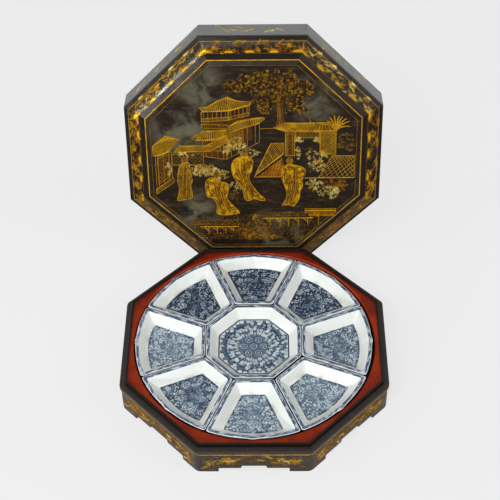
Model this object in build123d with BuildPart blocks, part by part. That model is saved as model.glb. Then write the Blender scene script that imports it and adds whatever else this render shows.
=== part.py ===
"""An octagonal lacquer box that holds nine porcelain dishes, standing open with its lid behind it.

The base is a tray on a footed apron. Its lip locates the lid, and a round well in it holds an octagonal
dish in the middle with eight fan-shaped dishes round it. The lid stands behind the base on its open rim,
leaning back. All sizes are in millimetres. The origin is on the floor under the middle of the base, +X is
to the right, +Y to the back and +Z up.
"""

import os
from math import atan2, cos, degrees, hypot, radians, sin, sqrt, tan

from build123d import *

os.makedirs("parts", exist_ok=True)

# The eight sides, anticlockwise from the right
side_names = ("right", "rear_right", "rear", "rear_left", "left", "front_left", "front", "front_right")
side_turn = 360 / len(side_names)
half_turn = side_turn / 2
side_share = tan(radians(half_turn))

# The box over two opposite sides, the same at the ledge and at the lid's skirt
across_flats = 350.0

# Ledge that the lid's rim sits on
ledge_top = 43.5
ledge_thick = 5.5
ledge_overhang = 1.6
ledge_round = 1.2

# Apron boards and their stepped bracket feet
apron_thick = 6.0
foot_width = 27.0
foot_step_width = 29.0
foot_step_rise = 7.3
arch_step_rise = 4.9
foot_round = 2.0
apron_corner_round = 12.0
round_limit_share = 0.45

# Wall boards, which stand above the ledge as a lip
wall_thick = 2.5
lip_rise = 7.2
lip_round = 0.7

# Tray floor
floor_top = 29.5
floor_thick = 6.0

# Hoop and red surround of the round well
hoop_thick = 4.5
hoop_clearance = 0.4
surround_thick = 7.0
surround_drop = 1.6
surround_round = 1.6

# Porcelain dishes
dish_height = 20.0
dish_depth = 12.5
dish_rim_width = 5.0
dish_wall_run = 9.8
fan_outer_run = 11.5
dish_batter = 11.0
dish_foot_width = 4.0
dish_foot_recess = 5.0
dish_gap = 0.9
centre_across_flats = 126.0
well_clearance = 1.5

# The fan dish's outer edge: two shallow, nearly straight lobes that meet in a blunt point
fan_corner_drop = 1.3
fan_dip_drop = 1.7
fan_lobe_drop = 1.5
fan_dip_share = 0.2
fan_lobe_share = 0.62

# Where each dish has settled in the well, as shares of the play it has
dish_play = 1.0
fan_shift_shares = (
    (-1.0, 0.5),
    (-0.9, 0.3),
    (-0.9, 0.5),
    (-0.9, 0.2),
    (-1.0, 0.0),
    (-0.9, -0.5),
    (-0.7, -1.0),
    (0.3, -1.0),
)
centre_shift_shares = (-0.9, 0.1)

# Lid: skirt boards, canted shoulder and raised top panel
lid_clearance = 0.6
skirt_board_height = 34.0
shoulder_edge_height = 4.2
arris_round = 1.5
band_edge_width = 4.0
band_edge_rise = 1.6
band_width = 16.4
band_rise = 6.7
band_bulge = 0.9
slope_width = 8.6
slope_rise = 2.8
riser_width = 5.2
riser_rise = 2.8
panel_thick = 9.0

# The lid's place: it leans back, this far behind the base
lid_lean = 12.6
lid_stand_gap = 6.8

# How far a cutting shape runs past what it cuts
overrun = 1.0

# Levels and distances from the middle that follow from the sizes above
apothem = across_flats / 2
apron_outer = apothem - ledge_overhang
apron_inner = apron_outer - apron_thick
apron_height = ledge_top - ledge_thick
ledge_corner_round = apron_corner_round + ledge_overhang
wall_inner = apron_inner - wall_thick
lip_top = ledge_top + lip_rise
hoop_outer = wall_inner - hoop_clearance
well_radius = hoop_outer - hoop_thick
surround_top = lip_top - surround_drop
surround_bottom = surround_top - surround_thick
centre_apothem = centre_across_flats / 2
fan_inner = centre_apothem + dish_gap
fan_reach = well_radius - well_clearance
skirt_inner = apron_inner + lid_clearance
band_outer = apothem - band_edge_width
band_inner = band_outer - band_width
panel_apothem = band_inner - slope_width
arris_height = skirt_board_height + shoulder_edge_height
band_low = arris_height + band_edge_rise
band_high = band_low + band_rise
slope_high = band_high + slope_rise
lid_height = slope_high + riser_rise
panel_bottom = lid_height - panel_thick
panel_flat = panel_apothem - riser_width


def turned(plane, angle):
    """A plane turned about its own z."""
    return Plane(plane.location * Rotation(0, 0, angle))


def side_frame(base, index):
    """The base plane turned so that its x runs out through the middle of one side."""
    return turned(base, index * side_turn)


def section_plane(side):
    """The upright plane through the middle of a side, with x outwards and y up."""
    return Plane(origin=side.origin, x_dir=side.x_dir, z_dir=-side.y_dir)


def mitre_planes(side):
    """The two upright planes that bound a side at its corners, both facing into it."""
    before = turned(side, -half_turn)
    after = turned(side, half_turn)
    return (
        Plane(origin=side.origin, z_dir=before.y_dir),
        Plane(origin=side.origin, z_dir=-after.y_dir),
    )


def cut_mitres(side):
    """Cut the board under way to its mitred length."""
    for mitre in mitre_planes(side):
        split(bisect_by=mitre, keep=Keep.TOP)


def finish_piece(piece, name):
    """Name a finished piece and write it."""
    piece.part.label = name
    export_step(piece.part, f"parts/{name}.step")


def octagon(flat_distance):
    """An octagon with flat sides to the right, the left, the front and the back."""
    RegularPolygon(flat_distance, len(side_names), major_radius=False, rotation=half_turn)


def round_corners(plane, flat_distance, radius, amount):
    """Trim the board under way to an octagon with rounded corners."""
    with BuildSketch(plane) as plan:
        octagon(flat_distance)
        fillet(plan.vertices(), radius=radius)
    extrude(plan.sketch, amount=amount, mode=Mode.INTERSECT)


base_plane = Plane.XY

# Apron boards: one to a side, with a stepped opening between the feet and rounded corners where they meet
for index, side_name in enumerate(side_names):
    side = side_frame(base_plane, index)
    half_side = apron_outer * side_share
    half_wide = half_side - foot_width
    half_narrow = half_wide - foot_step_width
    arch_rise = foot_step_rise + arch_step_rise
    corner_round = min(foot_round, foot_step_rise * round_limit_share, arch_step_rise * round_limit_share)
    with BuildPart() as apron_board:
        with BuildSketch(section_plane(side)):
            with Locations((apron_inner, 0)):
                Rectangle(apron_thick, apron_height, align=(Align.MIN, Align.MIN))
        extrude(amount=apothem, both=True)
        cut_mitres(side)
        round_corners(base_plane, apron_outer, apron_corner_round, apron_height)
        with BuildSketch(Plane(origin=side.origin, x_dir=side.y_dir, z_dir=side.x_dir)) as opening:
            with BuildLine():
                Polyline(
                    (-half_wide, -overrun),
                    (half_wide, -overrun),
                    (half_wide, foot_step_rise),
                    (half_narrow, foot_step_rise),
                    (half_narrow, arch_rise),
                    (-half_narrow, arch_rise),
                    (-half_narrow, foot_step_rise),
                    (-half_wide, foot_step_rise),
                    close=True,
                )
            make_face()
            fillet(opening.vertices().filter_by(lambda corner: corner.Y > 0), radius=corner_round)
        extrude(amount=apothem, mode=Mode.SUBTRACT)
    finish_piece(apron_board, f"apron_board_{side_name}")

# Ledge rails: they lie on the aprons and stand out a little past them
for index, side_name in enumerate(side_names):
    side = side_frame(base_plane, index)
    with BuildPart() as ledge_rail:
        with BuildSketch(section_plane(side)) as profile:
            with Locations((apron_inner, apron_height)):
                Rectangle(apothem - apron_inner, ledge_thick, align=(Align.MIN, Align.MIN))
            fillet(profile.vertices().group_by(Axis.X)[-1], radius=ledge_round)
        extrude(amount=apothem, both=True)
        cut_mitres(side)
        round_corners(base_plane.offset(apron_height), apothem, ledge_corner_round, ledge_thick)
    finish_piece(ledge_rail, f"ledge_rail_{side_name}")

# Floor panel: it fits between the aprons
with BuildPart() as tray_floor:
    with BuildSketch(base_plane.offset(floor_top - floor_thick)):
        octagon(apron_inner)
    extrude(amount=floor_thick)
finish_piece(tray_floor, "tray_floor")

# Wall boards: they stand on the floor, inside the aprons and ledge, and rise above the ledge
for index, side_name in enumerate(side_names):
    side = side_frame(base_plane, index)
    with BuildPart() as wall_board:
        with BuildSketch(section_plane(side)) as profile:
            with Locations((wall_inner, floor_top)):
                Rectangle(wall_thick, lip_top - floor_top, align=(Align.MIN, Align.MIN))
            fillet(profile.vertices().group_by(Axis.Y)[-1], radius=min(lip_round, wall_thick * round_limit_share))
        extrude(amount=apothem, both=True)
        cut_mitres(side)
    finish_piece(wall_board, f"wall_board_{side_name}")

# Hoop: the upright wall of the round well
with BuildPart() as well_hoop:
    with BuildSketch(base_plane.offset(floor_top)):
        Circle(hoop_outer)
        Circle(well_radius, mode=Mode.SUBTRACT)
    extrude(amount=surround_bottom - floor_top)
finish_piece(well_hoop, "well_hoop")

# Red surround: a plate between the wall boards and the round well, with its inner edge rounded
with BuildPart() as red_surround:
    with BuildSketch(base_plane.offset(surround_bottom)):
        octagon(wall_inner)
        Circle(well_radius, mode=Mode.SUBTRACT)
    extrude(amount=surround_thick)
    fillet(
        red_surround.edges().filter_by(GeomType.CIRCLE).sort_by(Axis.Z)[-1],
        radius=min(surround_round, surround_thick * round_limit_share),
    )
finish_piece(red_surround, "red_surround")


def fan_outline(inset, outer_inset):
    """A fan dish's outline about the box's axis, with x outwards, drawn in by its insets."""
    side_shift = (dish_gap / 2 + inset) / cos(radians(half_turn))
    tip_radius = fan_reach - outer_inset
    corner_radius = tip_radius - fan_corner_drop
    stretch = 1 + side_share**2
    corner_x = (side_share * side_shift + sqrt(stretch * corner_radius**2 - side_shift**2)) / stretch
    corner_y = corner_x * side_share - side_shift
    corner_angle = degrees(atan2(corner_y, corner_x))
    inner_x = fan_inner + inset
    inner_y = inner_x * side_share - side_shift
    lobe = Vector(tip_radius - fan_lobe_drop, 0).rotate(Axis.Z, corner_angle * fan_lobe_share)
    dip = Vector(tip_radius - fan_dip_drop, 0).rotate(Axis.Z, corner_angle * fan_dip_share)
    with BuildSketch() as outline:
        with BuildLine():
            Polyline((inner_x, 0), (inner_x, inner_y), (corner_x, corner_y))
            outer_lobe = ThreePointArc((corner_x, corner_y), lobe, dip)
            TangentArc(dip, (tip_radius, 0), tangent=outer_lobe % 1)
            mirror(about=Plane.XZ)
        make_face()
    return outline.sketch


def octagon_outline(inset, outer_inset):
    """The centre dish's outline, drawn in alike on all its sides."""
    with BuildSketch() as outline:
        octagon(centre_apothem - max(inset, outer_inset))
    return outline.sketch


def make_dish(name, outline, place, outer_run):
    """Shape a dish: battered outside, flat rim, sloping inside wall and a foot ring below."""
    rim = place.offset(dish_height)
    foot_inset = dish_batter + dish_foot_width
    with BuildPart() as dish:
        with BuildSketch(place):
            add(outline(dish_batter, dish_batter))
        with BuildSketch(rim):
            add(outline(0, 0))
        loft(ruled=True)
        with BuildSketch(place.offset(dish_height - dish_depth)):
            add(outline(dish_rim_width + dish_wall_run, dish_rim_width + outer_run))
        with BuildSketch(rim):
            add(outline(dish_rim_width, dish_rim_width))
        loft(ruled=True, mode=Mode.SUBTRACT)
        with BuildSketch(place):
            add(outline(foot_inset, foot_inset))
        extrude(amount=dish_foot_recess, mode=Mode.SUBTRACT)
    finish_piece(dish, name)


def dish_place(shift_shares):
    """A dish's plane on the tray floor, moved by its share of the play."""
    return Plane(origin=(shift_shares[0] * dish_play, shift_shares[1] * dish_play, floor_top))


# Dishes: the octagonal one in the middle and the eight fans round it
make_dish("dish_centre", octagon_outline, dish_place(centre_shift_shares), dish_wall_run)
for index, side_name in enumerate(side_names):
    fan_place = side_frame(dish_place(fan_shift_shares[index]), index)
    make_dish(f"dish_{side_name}", fan_outline, fan_place, fan_outer_run)

# The lid's own plane: its open rim, with y up the lid and z out of its top
lean_sin = sin(radians(lid_lean))
lean_cos = cos(radians(lid_lean))
lid_middle_y = apothem + lid_stand_gap + panel_flat * lean_sin + lid_height * lean_cos
lid_plane = Plane(
    origin=(0, lid_middle_y, apothem * lean_cos),
    x_dir=(1, 0, 0),
    z_dir=(0, -lean_cos, lean_sin),
)

# Skirt boards of the lid
for index, side_name in enumerate(side_names):
    side = side_frame(lid_plane, index)
    with BuildPart() as lid_skirt:
        with BuildSketch(section_plane(side)):
            with Locations((skirt_inner, 0)):
                Rectangle(apothem - skirt_inner, skirt_board_height, align=(Align.MIN, Align.MIN))
        extrude(amount=apothem, both=True)
        cut_mitres(side)
    finish_piece(lid_skirt, f"lid_skirt_{side_name}")

# Shoulder boards of the lid: a rounded arris, a bulging canted band and a plain slope up to the panel
band_length = hypot(band_width, band_rise)
band_middle = (
    (band_outer + band_inner) / 2 + band_bulge * band_rise / band_length,
    (band_low + band_high) / 2 + band_bulge * band_width / band_length,
)
for index, side_name in enumerate(side_names):
    side = side_frame(lid_plane, index)
    with BuildPart() as lid_shoulder:
        with BuildSketch(section_plane(side)) as profile:
            with BuildLine():
                Polyline(
                    (band_outer, band_low),
                    (apothem, arris_height),
                    (apothem, skirt_board_height),
                    (skirt_inner, skirt_board_height),
                    (panel_apothem, panel_bottom),
                    (panel_apothem, slope_high),
                    (band_inner, band_high),
                )
                ThreePointArc((band_inner, band_high), band_middle, (band_outer, band_low))
            make_face()
            arris = profile.vertices().group_by(Axis.X)[-1].sort_by(Axis.Y)[-1]
            fillet(arris, radius=arris_round)
        extrude(amount=apothem, both=True)
        cut_mitres(side)
    finish_piece(lid_shoulder, f"lid_shoulder_{side_name}")

# Top panel of the lid: flat, with a sloping riser round its edge
with BuildPart() as lid_panel:
    with BuildSketch(lid_plane.offset(panel_bottom)):
        octagon(panel_apothem)
    extrude(amount=panel_thick - riser_rise)
    with BuildSketch(lid_plane.offset(slope_high)):
        octagon(panel_apothem)
    with BuildSketch(lid_plane.offset(lid_height)):
        octagon(panel_flat)
    loft(ruled=True)
finish_piece(lid_panel, "lid_panel")
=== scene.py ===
# %% [markdown]
# An octagonal lacquer box that holds nine porcelain dishes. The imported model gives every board, dish and
# joint at its real size, and this script dresses it: lacquer and gilding on the wood, painted porcelain for
# the dishes. The frame is loaded first and never moved, and each later piece takes its place from it.

# %% Load the frame
import random
from math import atan2, cos, hypot, pi, radians, sin, sqrt, tan

import bpy
import numpy as np
from mathutils import Matrix, Vector


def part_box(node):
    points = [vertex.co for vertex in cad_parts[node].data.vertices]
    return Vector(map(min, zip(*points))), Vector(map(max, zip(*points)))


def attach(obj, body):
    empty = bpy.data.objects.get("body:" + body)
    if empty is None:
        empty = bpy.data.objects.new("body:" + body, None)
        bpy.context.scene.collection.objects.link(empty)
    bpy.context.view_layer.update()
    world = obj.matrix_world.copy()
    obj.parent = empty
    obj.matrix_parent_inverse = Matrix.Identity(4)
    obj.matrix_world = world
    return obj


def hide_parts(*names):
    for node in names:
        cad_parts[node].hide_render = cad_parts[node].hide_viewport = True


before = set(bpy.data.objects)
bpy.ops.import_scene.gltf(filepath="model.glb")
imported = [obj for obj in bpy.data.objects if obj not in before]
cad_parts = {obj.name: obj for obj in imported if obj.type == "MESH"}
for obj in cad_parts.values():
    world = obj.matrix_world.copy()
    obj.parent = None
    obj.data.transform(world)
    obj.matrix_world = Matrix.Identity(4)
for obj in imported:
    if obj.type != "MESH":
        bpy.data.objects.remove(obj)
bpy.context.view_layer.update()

mm = 0.001

# %% [markdown]
# The box has eight sides, named anticlockwise from the right as the nodes are. The few sizes that the looks
# need are read from the frame, where a node's box shows them, and the lean of the open lid is given.

# %% Sides and sizes
side_names = ("right", "rear_right", "rear", "rear_left", "left", "front_left", "front", "front_right")
side_turn = 2 * pi / len(side_names)
half_turn = side_turn / 2
side_share = tan(half_turn)
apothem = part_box("ledge_rail_right")[1].x
apron_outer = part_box("apron_board_right")[1].x
apron_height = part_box("apron_board_right")[1].z
lid_lean = radians(12.6)
lid_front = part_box("lid_panel")[0].y
print(f"across flats {2 * apothem:.3f} m, apron {apron_height:.4f} m high")

# %% [markdown]
# The camera stands above and in front of the box and looks down at it by about 46 degrees through a long
# lens, as in a catalogue picture. A rolled camera is easiest to write as three turns: roll about its own
# line of sight, then tilt, then turn about the upright.

# %% Camera
image_side = 500
focal_pixels = 1280.2
camera_place = Vector((21.6, -1091.7, 1359.7)) * mm
camera_down = radians(46.15)
camera_turn = radians(1.3)
camera_roll = radians(-1.24)

camera_data = bpy.data.cameras.new("camera")
camera_data.sensor_width = 36.0
camera_data.lens = camera_data.sensor_width * focal_pixels / image_side
camera_data.clip_end = 50.0
camera = bpy.data.objects.new("camera", camera_data)
bpy.context.scene.collection.objects.link(camera)
turn = Matrix.Rotation(camera_turn, 4, "Z")
tilt = Matrix.Rotation(pi / 2 - camera_down, 4, "X")
roll = Matrix.Rotation(camera_roll, 4, "Z")
camera.matrix_world = Matrix.Translation(camera_place) @ turn @ tilt @ roll
bpy.context.scene.camera = camera
bpy.context.scene.view_settings.view_transform = "Standard"
print(f"lens {camera_data.lens:.1f} mm")

# %% [markdown]
# Finishes are made of shader nodes. Small helpers keep the later cells short: one adds a node and sets or
# wires its inputs, and the others build on it for sums, mixes, soft steps and noise. Colours are written as
# they look on a screen, from 0 to 255.

# %% Helpers for finishes
def colour(red, green, blue):
    """A screen colour as the light values that a shader takes."""
    light = [value / 255 for value in (red, green, blue)]
    return tuple(v / 12.92 if v <= 0.04045 else ((v + 0.055) / 1.055) ** 2.4 for v in light) + (1.0,)


def wire(tree, value, socket):
    """Set an input, or link it where the value is another node's output."""
    if isinstance(value, bpy.types.NodeSocket):
        tree.links.new(value, socket)
    else:
        socket.default_value = value


def add_node(tree, kind, inputs=None, **settings):
    """Add a shader node with its settings and inputs."""
    made = tree.nodes.new("ShaderNode" + kind)
    for name, value in settings.items():
        setattr(made, name, value)
    for name, value in (inputs or {}).items():
        wire(tree, value, made.inputs[name])
    return made


def work_out(tree, operation, *terms):
    """One sum on numbers."""
    made = add_node(tree, "Math", operation=operation)
    for term, socket in zip(terms, made.inputs):
        wire(tree, term, socket)
    return made.outputs[0]


def times(tree, *terms):
    """The product of several numbers."""
    product = terms[0]
    for term in terms[1:]:
        product = work_out(tree, "MULTIPLY", product, term)
    return product


def vector_work(tree, operation, *terms):
    """One sum on places, which gives a place, or a number where it measures one."""
    made = add_node(tree, "VectorMath", dict(enumerate(terms)), operation=operation)
    gives_number = operation in ("LENGTH", "DISTANCE", "DOT_PRODUCT")
    return made.outputs["Value" if gives_number else "Vector"]


def blend_colours(tree, share, first, second):
    """A mix of two colours by a share from 0 to 1."""
    made = add_node(tree, "Mix", data_type="RGBA")
    wire(tree, share, made.inputs[0])
    wire(tree, first, made.inputs[6])
    wire(tree, second, made.inputs[7])
    return made.outputs[2]


def step_up(tree, value, low, high, start=0.0, end=1.0):
    """A soft step: start below low, end above high."""
    made = add_node(tree, "MapRange", interpolation_type="SMOOTHSTEP")
    for name, number in (
        ("Value", value), ("From Min", low), ("From Max", high), ("To Min", start), ("To Max", end)
    ):
        wire(tree, number, made.inputs[name])
    return made.outputs["Result"]


def cloud(tree, where, scale, detail=4.0, roughness=0.55, distortion=0.0):
    """Smooth noise from 0 to 1."""
    made = add_node(tree, "TexNoise", {"Vector": where, "Scale": scale, "Detail": detail})
    made.inputs["Roughness"].default_value = roughness
    made.inputs["Distortion"].default_value = distortion
    return made.outputs["Fac"]


def new_finish(name):
    """A material under way: the material, its node tree and its shader."""
    finish = bpy.data.materials.new(name)
    finish.use_nodes = True
    tree = finish.node_tree
    return finish, tree, tree.nodes["Principled BSDF"]


def object_place(tree):
    """Where a point lies on the object, in metres."""
    return add_node(tree, "TexCoord").outputs["Object"]


print("finish helpers ready")

# %% [markdown]
# A plain pale floor and soft studio light. Large lamps give soft edges to the highlights on lacquer and
# glaze: one from the front left as the main light, weaker ones at both sides and behind, and an even pale
# sky for the rest. One small low lamp at the left gives a polished edge of the lid its streak. Most of the
# floor's paleness is its own where the camera or a gloss shows it, so that it stays even and keeps a faint
# shadow.

# %% Floor and light
def shown_paleness(tree):
    """1 where the camera, a gloss or clear matter shows a background, 0 where it only lights the object."""
    seen = add_node(tree, "LightPath")
    mirrored = work_out(tree, "MAXIMUM", seen.outputs["Is Glossy Ray"], seen.outputs["Is Transmission Ray"])
    return work_out(tree, "MAXIMUM", seen.outputs["Is Camera Ray"], mirrored)


pale = colour(239, 239, 239)
floor_side = 12.0
floor_glow = 0.82
bpy.ops.object.select_all(action="DESELECT")
bpy.ops.mesh.primitive_plane_add(size=floor_side, location=(0, 0, 0))
floor = bpy.context.object
floor.name = "studio_floor"
floor_finish, tree, shader = new_finish("studio_floor")
shader.inputs["Base Color"].default_value = pale
shader.inputs["Roughness"].default_value = 0.9
glow = add_node(tree, "Emission", {"Color": pale, "Strength": 1.0})
own_share = times(tree, shown_paleness(tree), floor_glow)
both = add_node(tree, "MixShader", {0: own_share, 1: shader.outputs[0], 2: glow.outputs[0]})
tree.links.new(both.outputs[0], tree.nodes["Material Output"].inputs["Surface"])
floor.data.materials.append(floor_finish)

world = bpy.data.worlds.new("studio")
bpy.context.scene.world = world
world.use_nodes = True
tree = world.node_tree
sky = tree.nodes["Background"]
sky.inputs["Color"].default_value = colour(236, 238, 242)
sky_light = 0.34
tree.links.new(step_up(tree, shown_paleness(tree), 0.0, 1.0, sky_light, 1.0), sky.inputs["Strength"])


def soft_lamp(name, place, target, width, height, power):
    """A large lamp that points at a target."""
    lamp = bpy.data.lights.new(name, "AREA")
    lamp.shape = "RECTANGLE"
    lamp.size = width
    lamp.size_y = height
    lamp.energy = power
    made = bpy.data.objects.new(name, lamp)
    bpy.context.scene.collection.objects.link(made)
    aim = (Vector(target) - Vector(place)).to_track_quat("-Z", "Y")
    made.matrix_world = Matrix.Translation(Vector(place)) @ aim.to_matrix().to_4x4()
    made.visible_camera = False


middle = (0.0, 0.05, 0.05)
soft_lamp("main_lamp", (-0.7, -1.7, 2.3), middle, 1.5, 1.2, 41.0)
soft_lamp("right_lamp", (1.9, -0.5, 1.5), middle, 1.0, 1.0, 12.0)
soft_lamp("left_lamp", (-1.9, -0.3, 1.5), middle, 1.0, 1.0, 9.0)
soft_lamp("back_lamp", (0.0, 2.3, 1.2), (0.0, 0.3, 0.3), 2.2, 0.6, 9.0)
soft_lamp("left_low_lamp", (-0.88, -1.5, 0.4), (0.0, 0.2, 0.25), 0.15, 0.15, 8.5)

# %% [markdown]
# Black lacquer. The real coat is many thin layers rubbed smooth, never quite flat, and brown where it has
# worn. One function makes all the dark finishes: two dark colours mixed by noise, a gloss that varies, and
# a faint unevenness as bump. Each board then differs only in its colours and gloss.

# %% Lacquer
def make_lacquer(name, dark, worn, wear_from, gloss, wear_scale=38.0, shine=0.5, ripple=0.25):
    """A dark lacquer, worn to a lighter colour in patches."""
    finish, tree, shader = new_finish(name)
    shader.inputs["Specular IOR Level"].default_value = shine
    where = object_place(tree)
    patches = cloud(tree, where, wear_scale, detail=7.0, roughness=0.62, distortion=0.6)
    wear = step_up(tree, patches, wear_from, wear_from + 0.22)
    fine = cloud(tree, where, 900.0, detail=2.0)
    mottled = blend_colours(tree, step_up(tree, fine, 0.35, 0.75, 0.0, 0.35), dark, worn)
    wire(tree, blend_colours(tree, wear, mottled, worn), shader.inputs["Base Color"])
    wire(tree, step_up(tree, patches, 0.3, 0.75, gloss, gloss + 0.16), shader.inputs["Roughness"])
    uneven = cloud(tree, where, 60.0, detail=3.0)
    bump = add_node(tree, "Bump", {"Height": uneven, "Strength": ripple, "Distance": 0.4 * mm})
    wire(tree, bump.outputs["Normal"], shader.inputs["Normal"])
    return finish


black_lacquer = make_lacquer(
    "black_lacquer", colour(51, 46, 43), colour(74, 66, 58), 0.58, 0.26, shine=0.12
)
lip_lacquer = make_lacquer("lip_lacquer", colour(19, 16, 14), colour(40, 33, 27), 0.6, 0.16, shine=0.14)
shoulder_lacquer = make_lacquer(
    "shoulder_lacquer", colour(26, 18, 12), colour(52, 39, 24), 0.56, 0.1, shine=0.1
)
held_lacquer = make_lacquer("held_lacquer", colour(62, 46, 26), colour(104, 80, 42), 0.42, 0.24, shine=0.1)
polished_lacquer = make_lacquer(
    "polished_lacquer", colour(32, 24, 16), colour(62, 48, 30), 0.54, 0.16, shine=0.3
)
skirt_lacquer = make_lacquer(
    "skirt_lacquer", colour(44, 40, 37), colour(74, 65, 57), 0.58, 0.18, shine=0.6, ripple=0.05
)
apron_lacquer = make_lacquer(
    "apron_lacquer", colour(27, 22, 18), colour(74, 58, 36), 0.5, 0.34, 55.0, shine=0.3, ripple=0.15
)
well_lacquer = make_lacquer("well_lacquer", colour(20, 15, 13), colour(46, 30, 24), 0.6, 0.5, shine=0.2)


def dress(finish, *stems):
    """Give a finish to every node whose name starts with one of the stems."""
    dressed = [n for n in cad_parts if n.startswith(stems)]
    for name in dressed:
        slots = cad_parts[name].data.materials
        slots.clear()
        slots.append(finish)
    return len(dressed)


print("ledge:", dress(black_lacquer, "ledge_rail_"), "lip:", dress(lip_lacquer, "wall_board_"))
print("shoulders:", dress(shoulder_lacquer, "lid_shoulder_"))
print("polished shoulders:", dress(polished_lacquer, "lid_shoulder_rear_"))
print("shoulders where the lid is held:", dress(held_lacquer, "lid_shoulder_front"))
print("skirts:", dress(skirt_lacquer, "lid_skirt_"))
print("aprons:", dress(apron_lacquer, "apron_board_"))
print("well:", dress(well_lacquer, "tray_floor", "well_hoop"))

# %% [markdown]
# The ground of the lid's panel is black too, with washes of thin grey gold for clouds and haze. Each wash
# is a soft round patch about one spot, broken up by noise.

# %% Clouded lacquer of the panel
panel_lacquer = make_lacquer(
    "panel_lacquer", colour(26, 17, 10), colour(46, 33, 20), 0.56, 0.3, 26.0, shine=0.12
)
tree = panel_lacquer.node_tree
shader = tree.nodes["Principled BSDF"]
ground = shader.inputs["Base Color"].links[0].from_socket
where = object_place(tree)
haze_spots = [
    (-0.068, 0.285, 0.05), (-0.1, 0.225, 0.055), (0.082, 0.265, 0.05), (-0.08, 0.1, 0.045),
    (0.03, 0.06, 0.05),
]
haze = 0.0
for x, z, size in haze_spots:
    spot = (x, lid_front + z * tan(lid_lean), z)
    away = vector_work(tree, "DISTANCE", where, spot)
    haze = work_out(tree, "MAXIMUM", step_up(tree, away, size, size * 0.25), haze)
wisps = step_up(
    tree, cloud(tree, where, 30.0, detail=6.0, roughness=0.6, distortion=1.0), 0.35, 0.66, 0.0, 0.95
)
facing = (0.0, -cos(lid_lean), sin(lid_lean))
outwards = vector_work(tree, "DOT_PRODUCT", where, facing)
face_level = -lid_front * cos(lid_lean)
on_face = step_up(tree, outwards, face_level + 4 * mm, face_level + 6 * mm)
haze = times(tree, haze, wisps, on_face)
streaked = vector_work(tree, "MULTIPLY", where, (0.4, 1.0, 1.6))
scuffs = step_up(tree, cloud(tree, streaked, 110.0, detail=5.0, roughness=0.65), 0.5, 0.72, 0.0, 0.4)
scuffed = blend_colours(tree, times(tree, scuffs, on_face), ground, colour(96, 76, 48))
washed = blend_colours(tree, haze, scuffed, colour(101, 96, 77))
wire(tree, washed, shader.inputs["Base Color"])
print("panel:", dress(panel_lacquer, "lid_panel"))

# %% [markdown]
# The red surround of the well is lacquer too, brighter and glossier. Its corners and a strip along the rear
# boards are painted darker, as shade and a dark reflection of the lid. Towards the rear, the rounded edge
# of the well carries a painted highlight.

# %% Red lacquer
# Painted shade in the corners and along the rear boards, and a painted highlight on the well's edge.
painted_corner_shade = (163 * mm, 178 * mm)
painted_board_shade = (158.5 * mm, 164.8 * mm)
highlight_rise = (159.9 * mm, 160.6 * mm)
highlight_fall = (162.6 * mm, 161.2 * mm)
red_lacquer, tree, shader = new_finish("red_lacquer")
shader.inputs["Specular IOR Level"].default_value = 0.1
where = object_place(tree)
patches = cloud(tree, where, 30.0, detail=6.0)
reds = blend_colours(tree, step_up(tree, patches, 0.35, 0.7), colour(116, 32, 11), colour(150, 47, 17))
specks = step_up(tree, cloud(tree, where, 420.0, detail=3.0), 0.66, 0.74, 0.0, 0.7)
flat_place = vector_work(tree, "MULTIPLY", where, (1.0, 1.0, 0.0))
reach = vector_work(tree, "LENGTH", flat_place)
split = add_node(tree, "SeparateXYZ", {"Vector": where})
to_back = split.outputs["Y"]
# The corners are painted darker as shade, half as much at the front.
corner_shade_share = step_up(tree, reach, *painted_corner_shade, 0.0, 0.85)
shaded = times(tree, corner_shade_share, step_up(tree, to_back, -0.06, 0.1, 0.5, 1.0))
reds = blend_colours(tree, shaded, reds, colour(64, 24, 15))
spread = [work_out(tree, "ABSOLUTE", split.outputs[axis]) for axis in ("X", "Y")]
slanted = times(tree, work_out(tree, "ADD", *spread), sqrt(0.5))
side_reach = work_out(tree, "MAXIMUM", work_out(tree, "MAXIMUM", *spread), slanted)
rear = step_up(tree, to_back, 0.03, 0.11)
# A strip along the rear boards is painted dark as shade and a reflection of the lid.
board_shade = times(tree, step_up(tree, side_reach, *painted_board_shade, 0.0, 0.9), rear)
reds = blend_colours(tree, board_shade, reds, colour(40, 23, 15))
# A painted highlight on the rounded edge of the well, towards the rear.
edge_highlight = times(tree, step_up(tree, reach, *highlight_rise), step_up(tree, reach, *highlight_fall))
reds = blend_colours(
    tree, times(tree, edge_highlight, step_up(tree, rear, 0.0, 1.0, 0.0, 0.6)), reds, colour(190, 70, 46)
)
wire(tree, blend_colours(tree, specks, reds, colour(92, 30, 20)), shader.inputs["Base Color"])
wire(tree, step_up(tree, patches, 0.3, 0.7, 0.24, 0.36), shader.inputs["Roughness"])
bump = add_node(tree, "Bump", {"Height": cloud(tree, where, 75.0), "Strength": 0.3, "Distance": 0.4 * mm})
wire(tree, bump.outputs["Normal"], shader.inputs["Normal"])
print("red:", dress(red_lacquer, "red_surround"))

# %% [markdown]
# Porcelain dishes. A press-moulded dish has a flat rim, sloping walls and a flat painted floor, with every
# edge softened by the glaze. A sheet of squares is the easiest start: one direction of the sheet runs round
# the dish, the other from under its foot, over the rim and down to the floor. Wrapping the sheet is then
# only a matter of giving each row its ring. Each square keeps two maps, the plan of the dish and the way
# round its edge, for the painting.

# %% Sizes of the dishes
dish_height = 20.0 * mm
dish_depth = 12.5 * mm
rim_width = 5.0 * mm
wall_run = 9.8 * mm
fan_outer_run = 11.5 * mm
foot_batter = 11.0 * mm
foot_width = 4.0 * mm
foot_recess = 5.0 * mm
dish_gap = 0.9 * mm
centre_apothem = 63.0 * mm
fan_inner = centre_apothem + dish_gap
fan_reach = 158.5 * mm
fan_corner_drop = 1.3 * mm
fan_dip_drop = 1.7 * mm
fan_lobe_drop = 1.5 * mm
fan_dip_share = 0.2
fan_lobe_share = 0.62
inner_steps, side_steps, outer_steps, octagon_steps = 28, 44, 72, 24


def run(start, end, steps):
    """Points from start up to, but without, end."""
    shares = np.arange(steps)[:, None] / steps
    return np.array(start) + shares * (np.array(end) - np.array(start))


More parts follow.
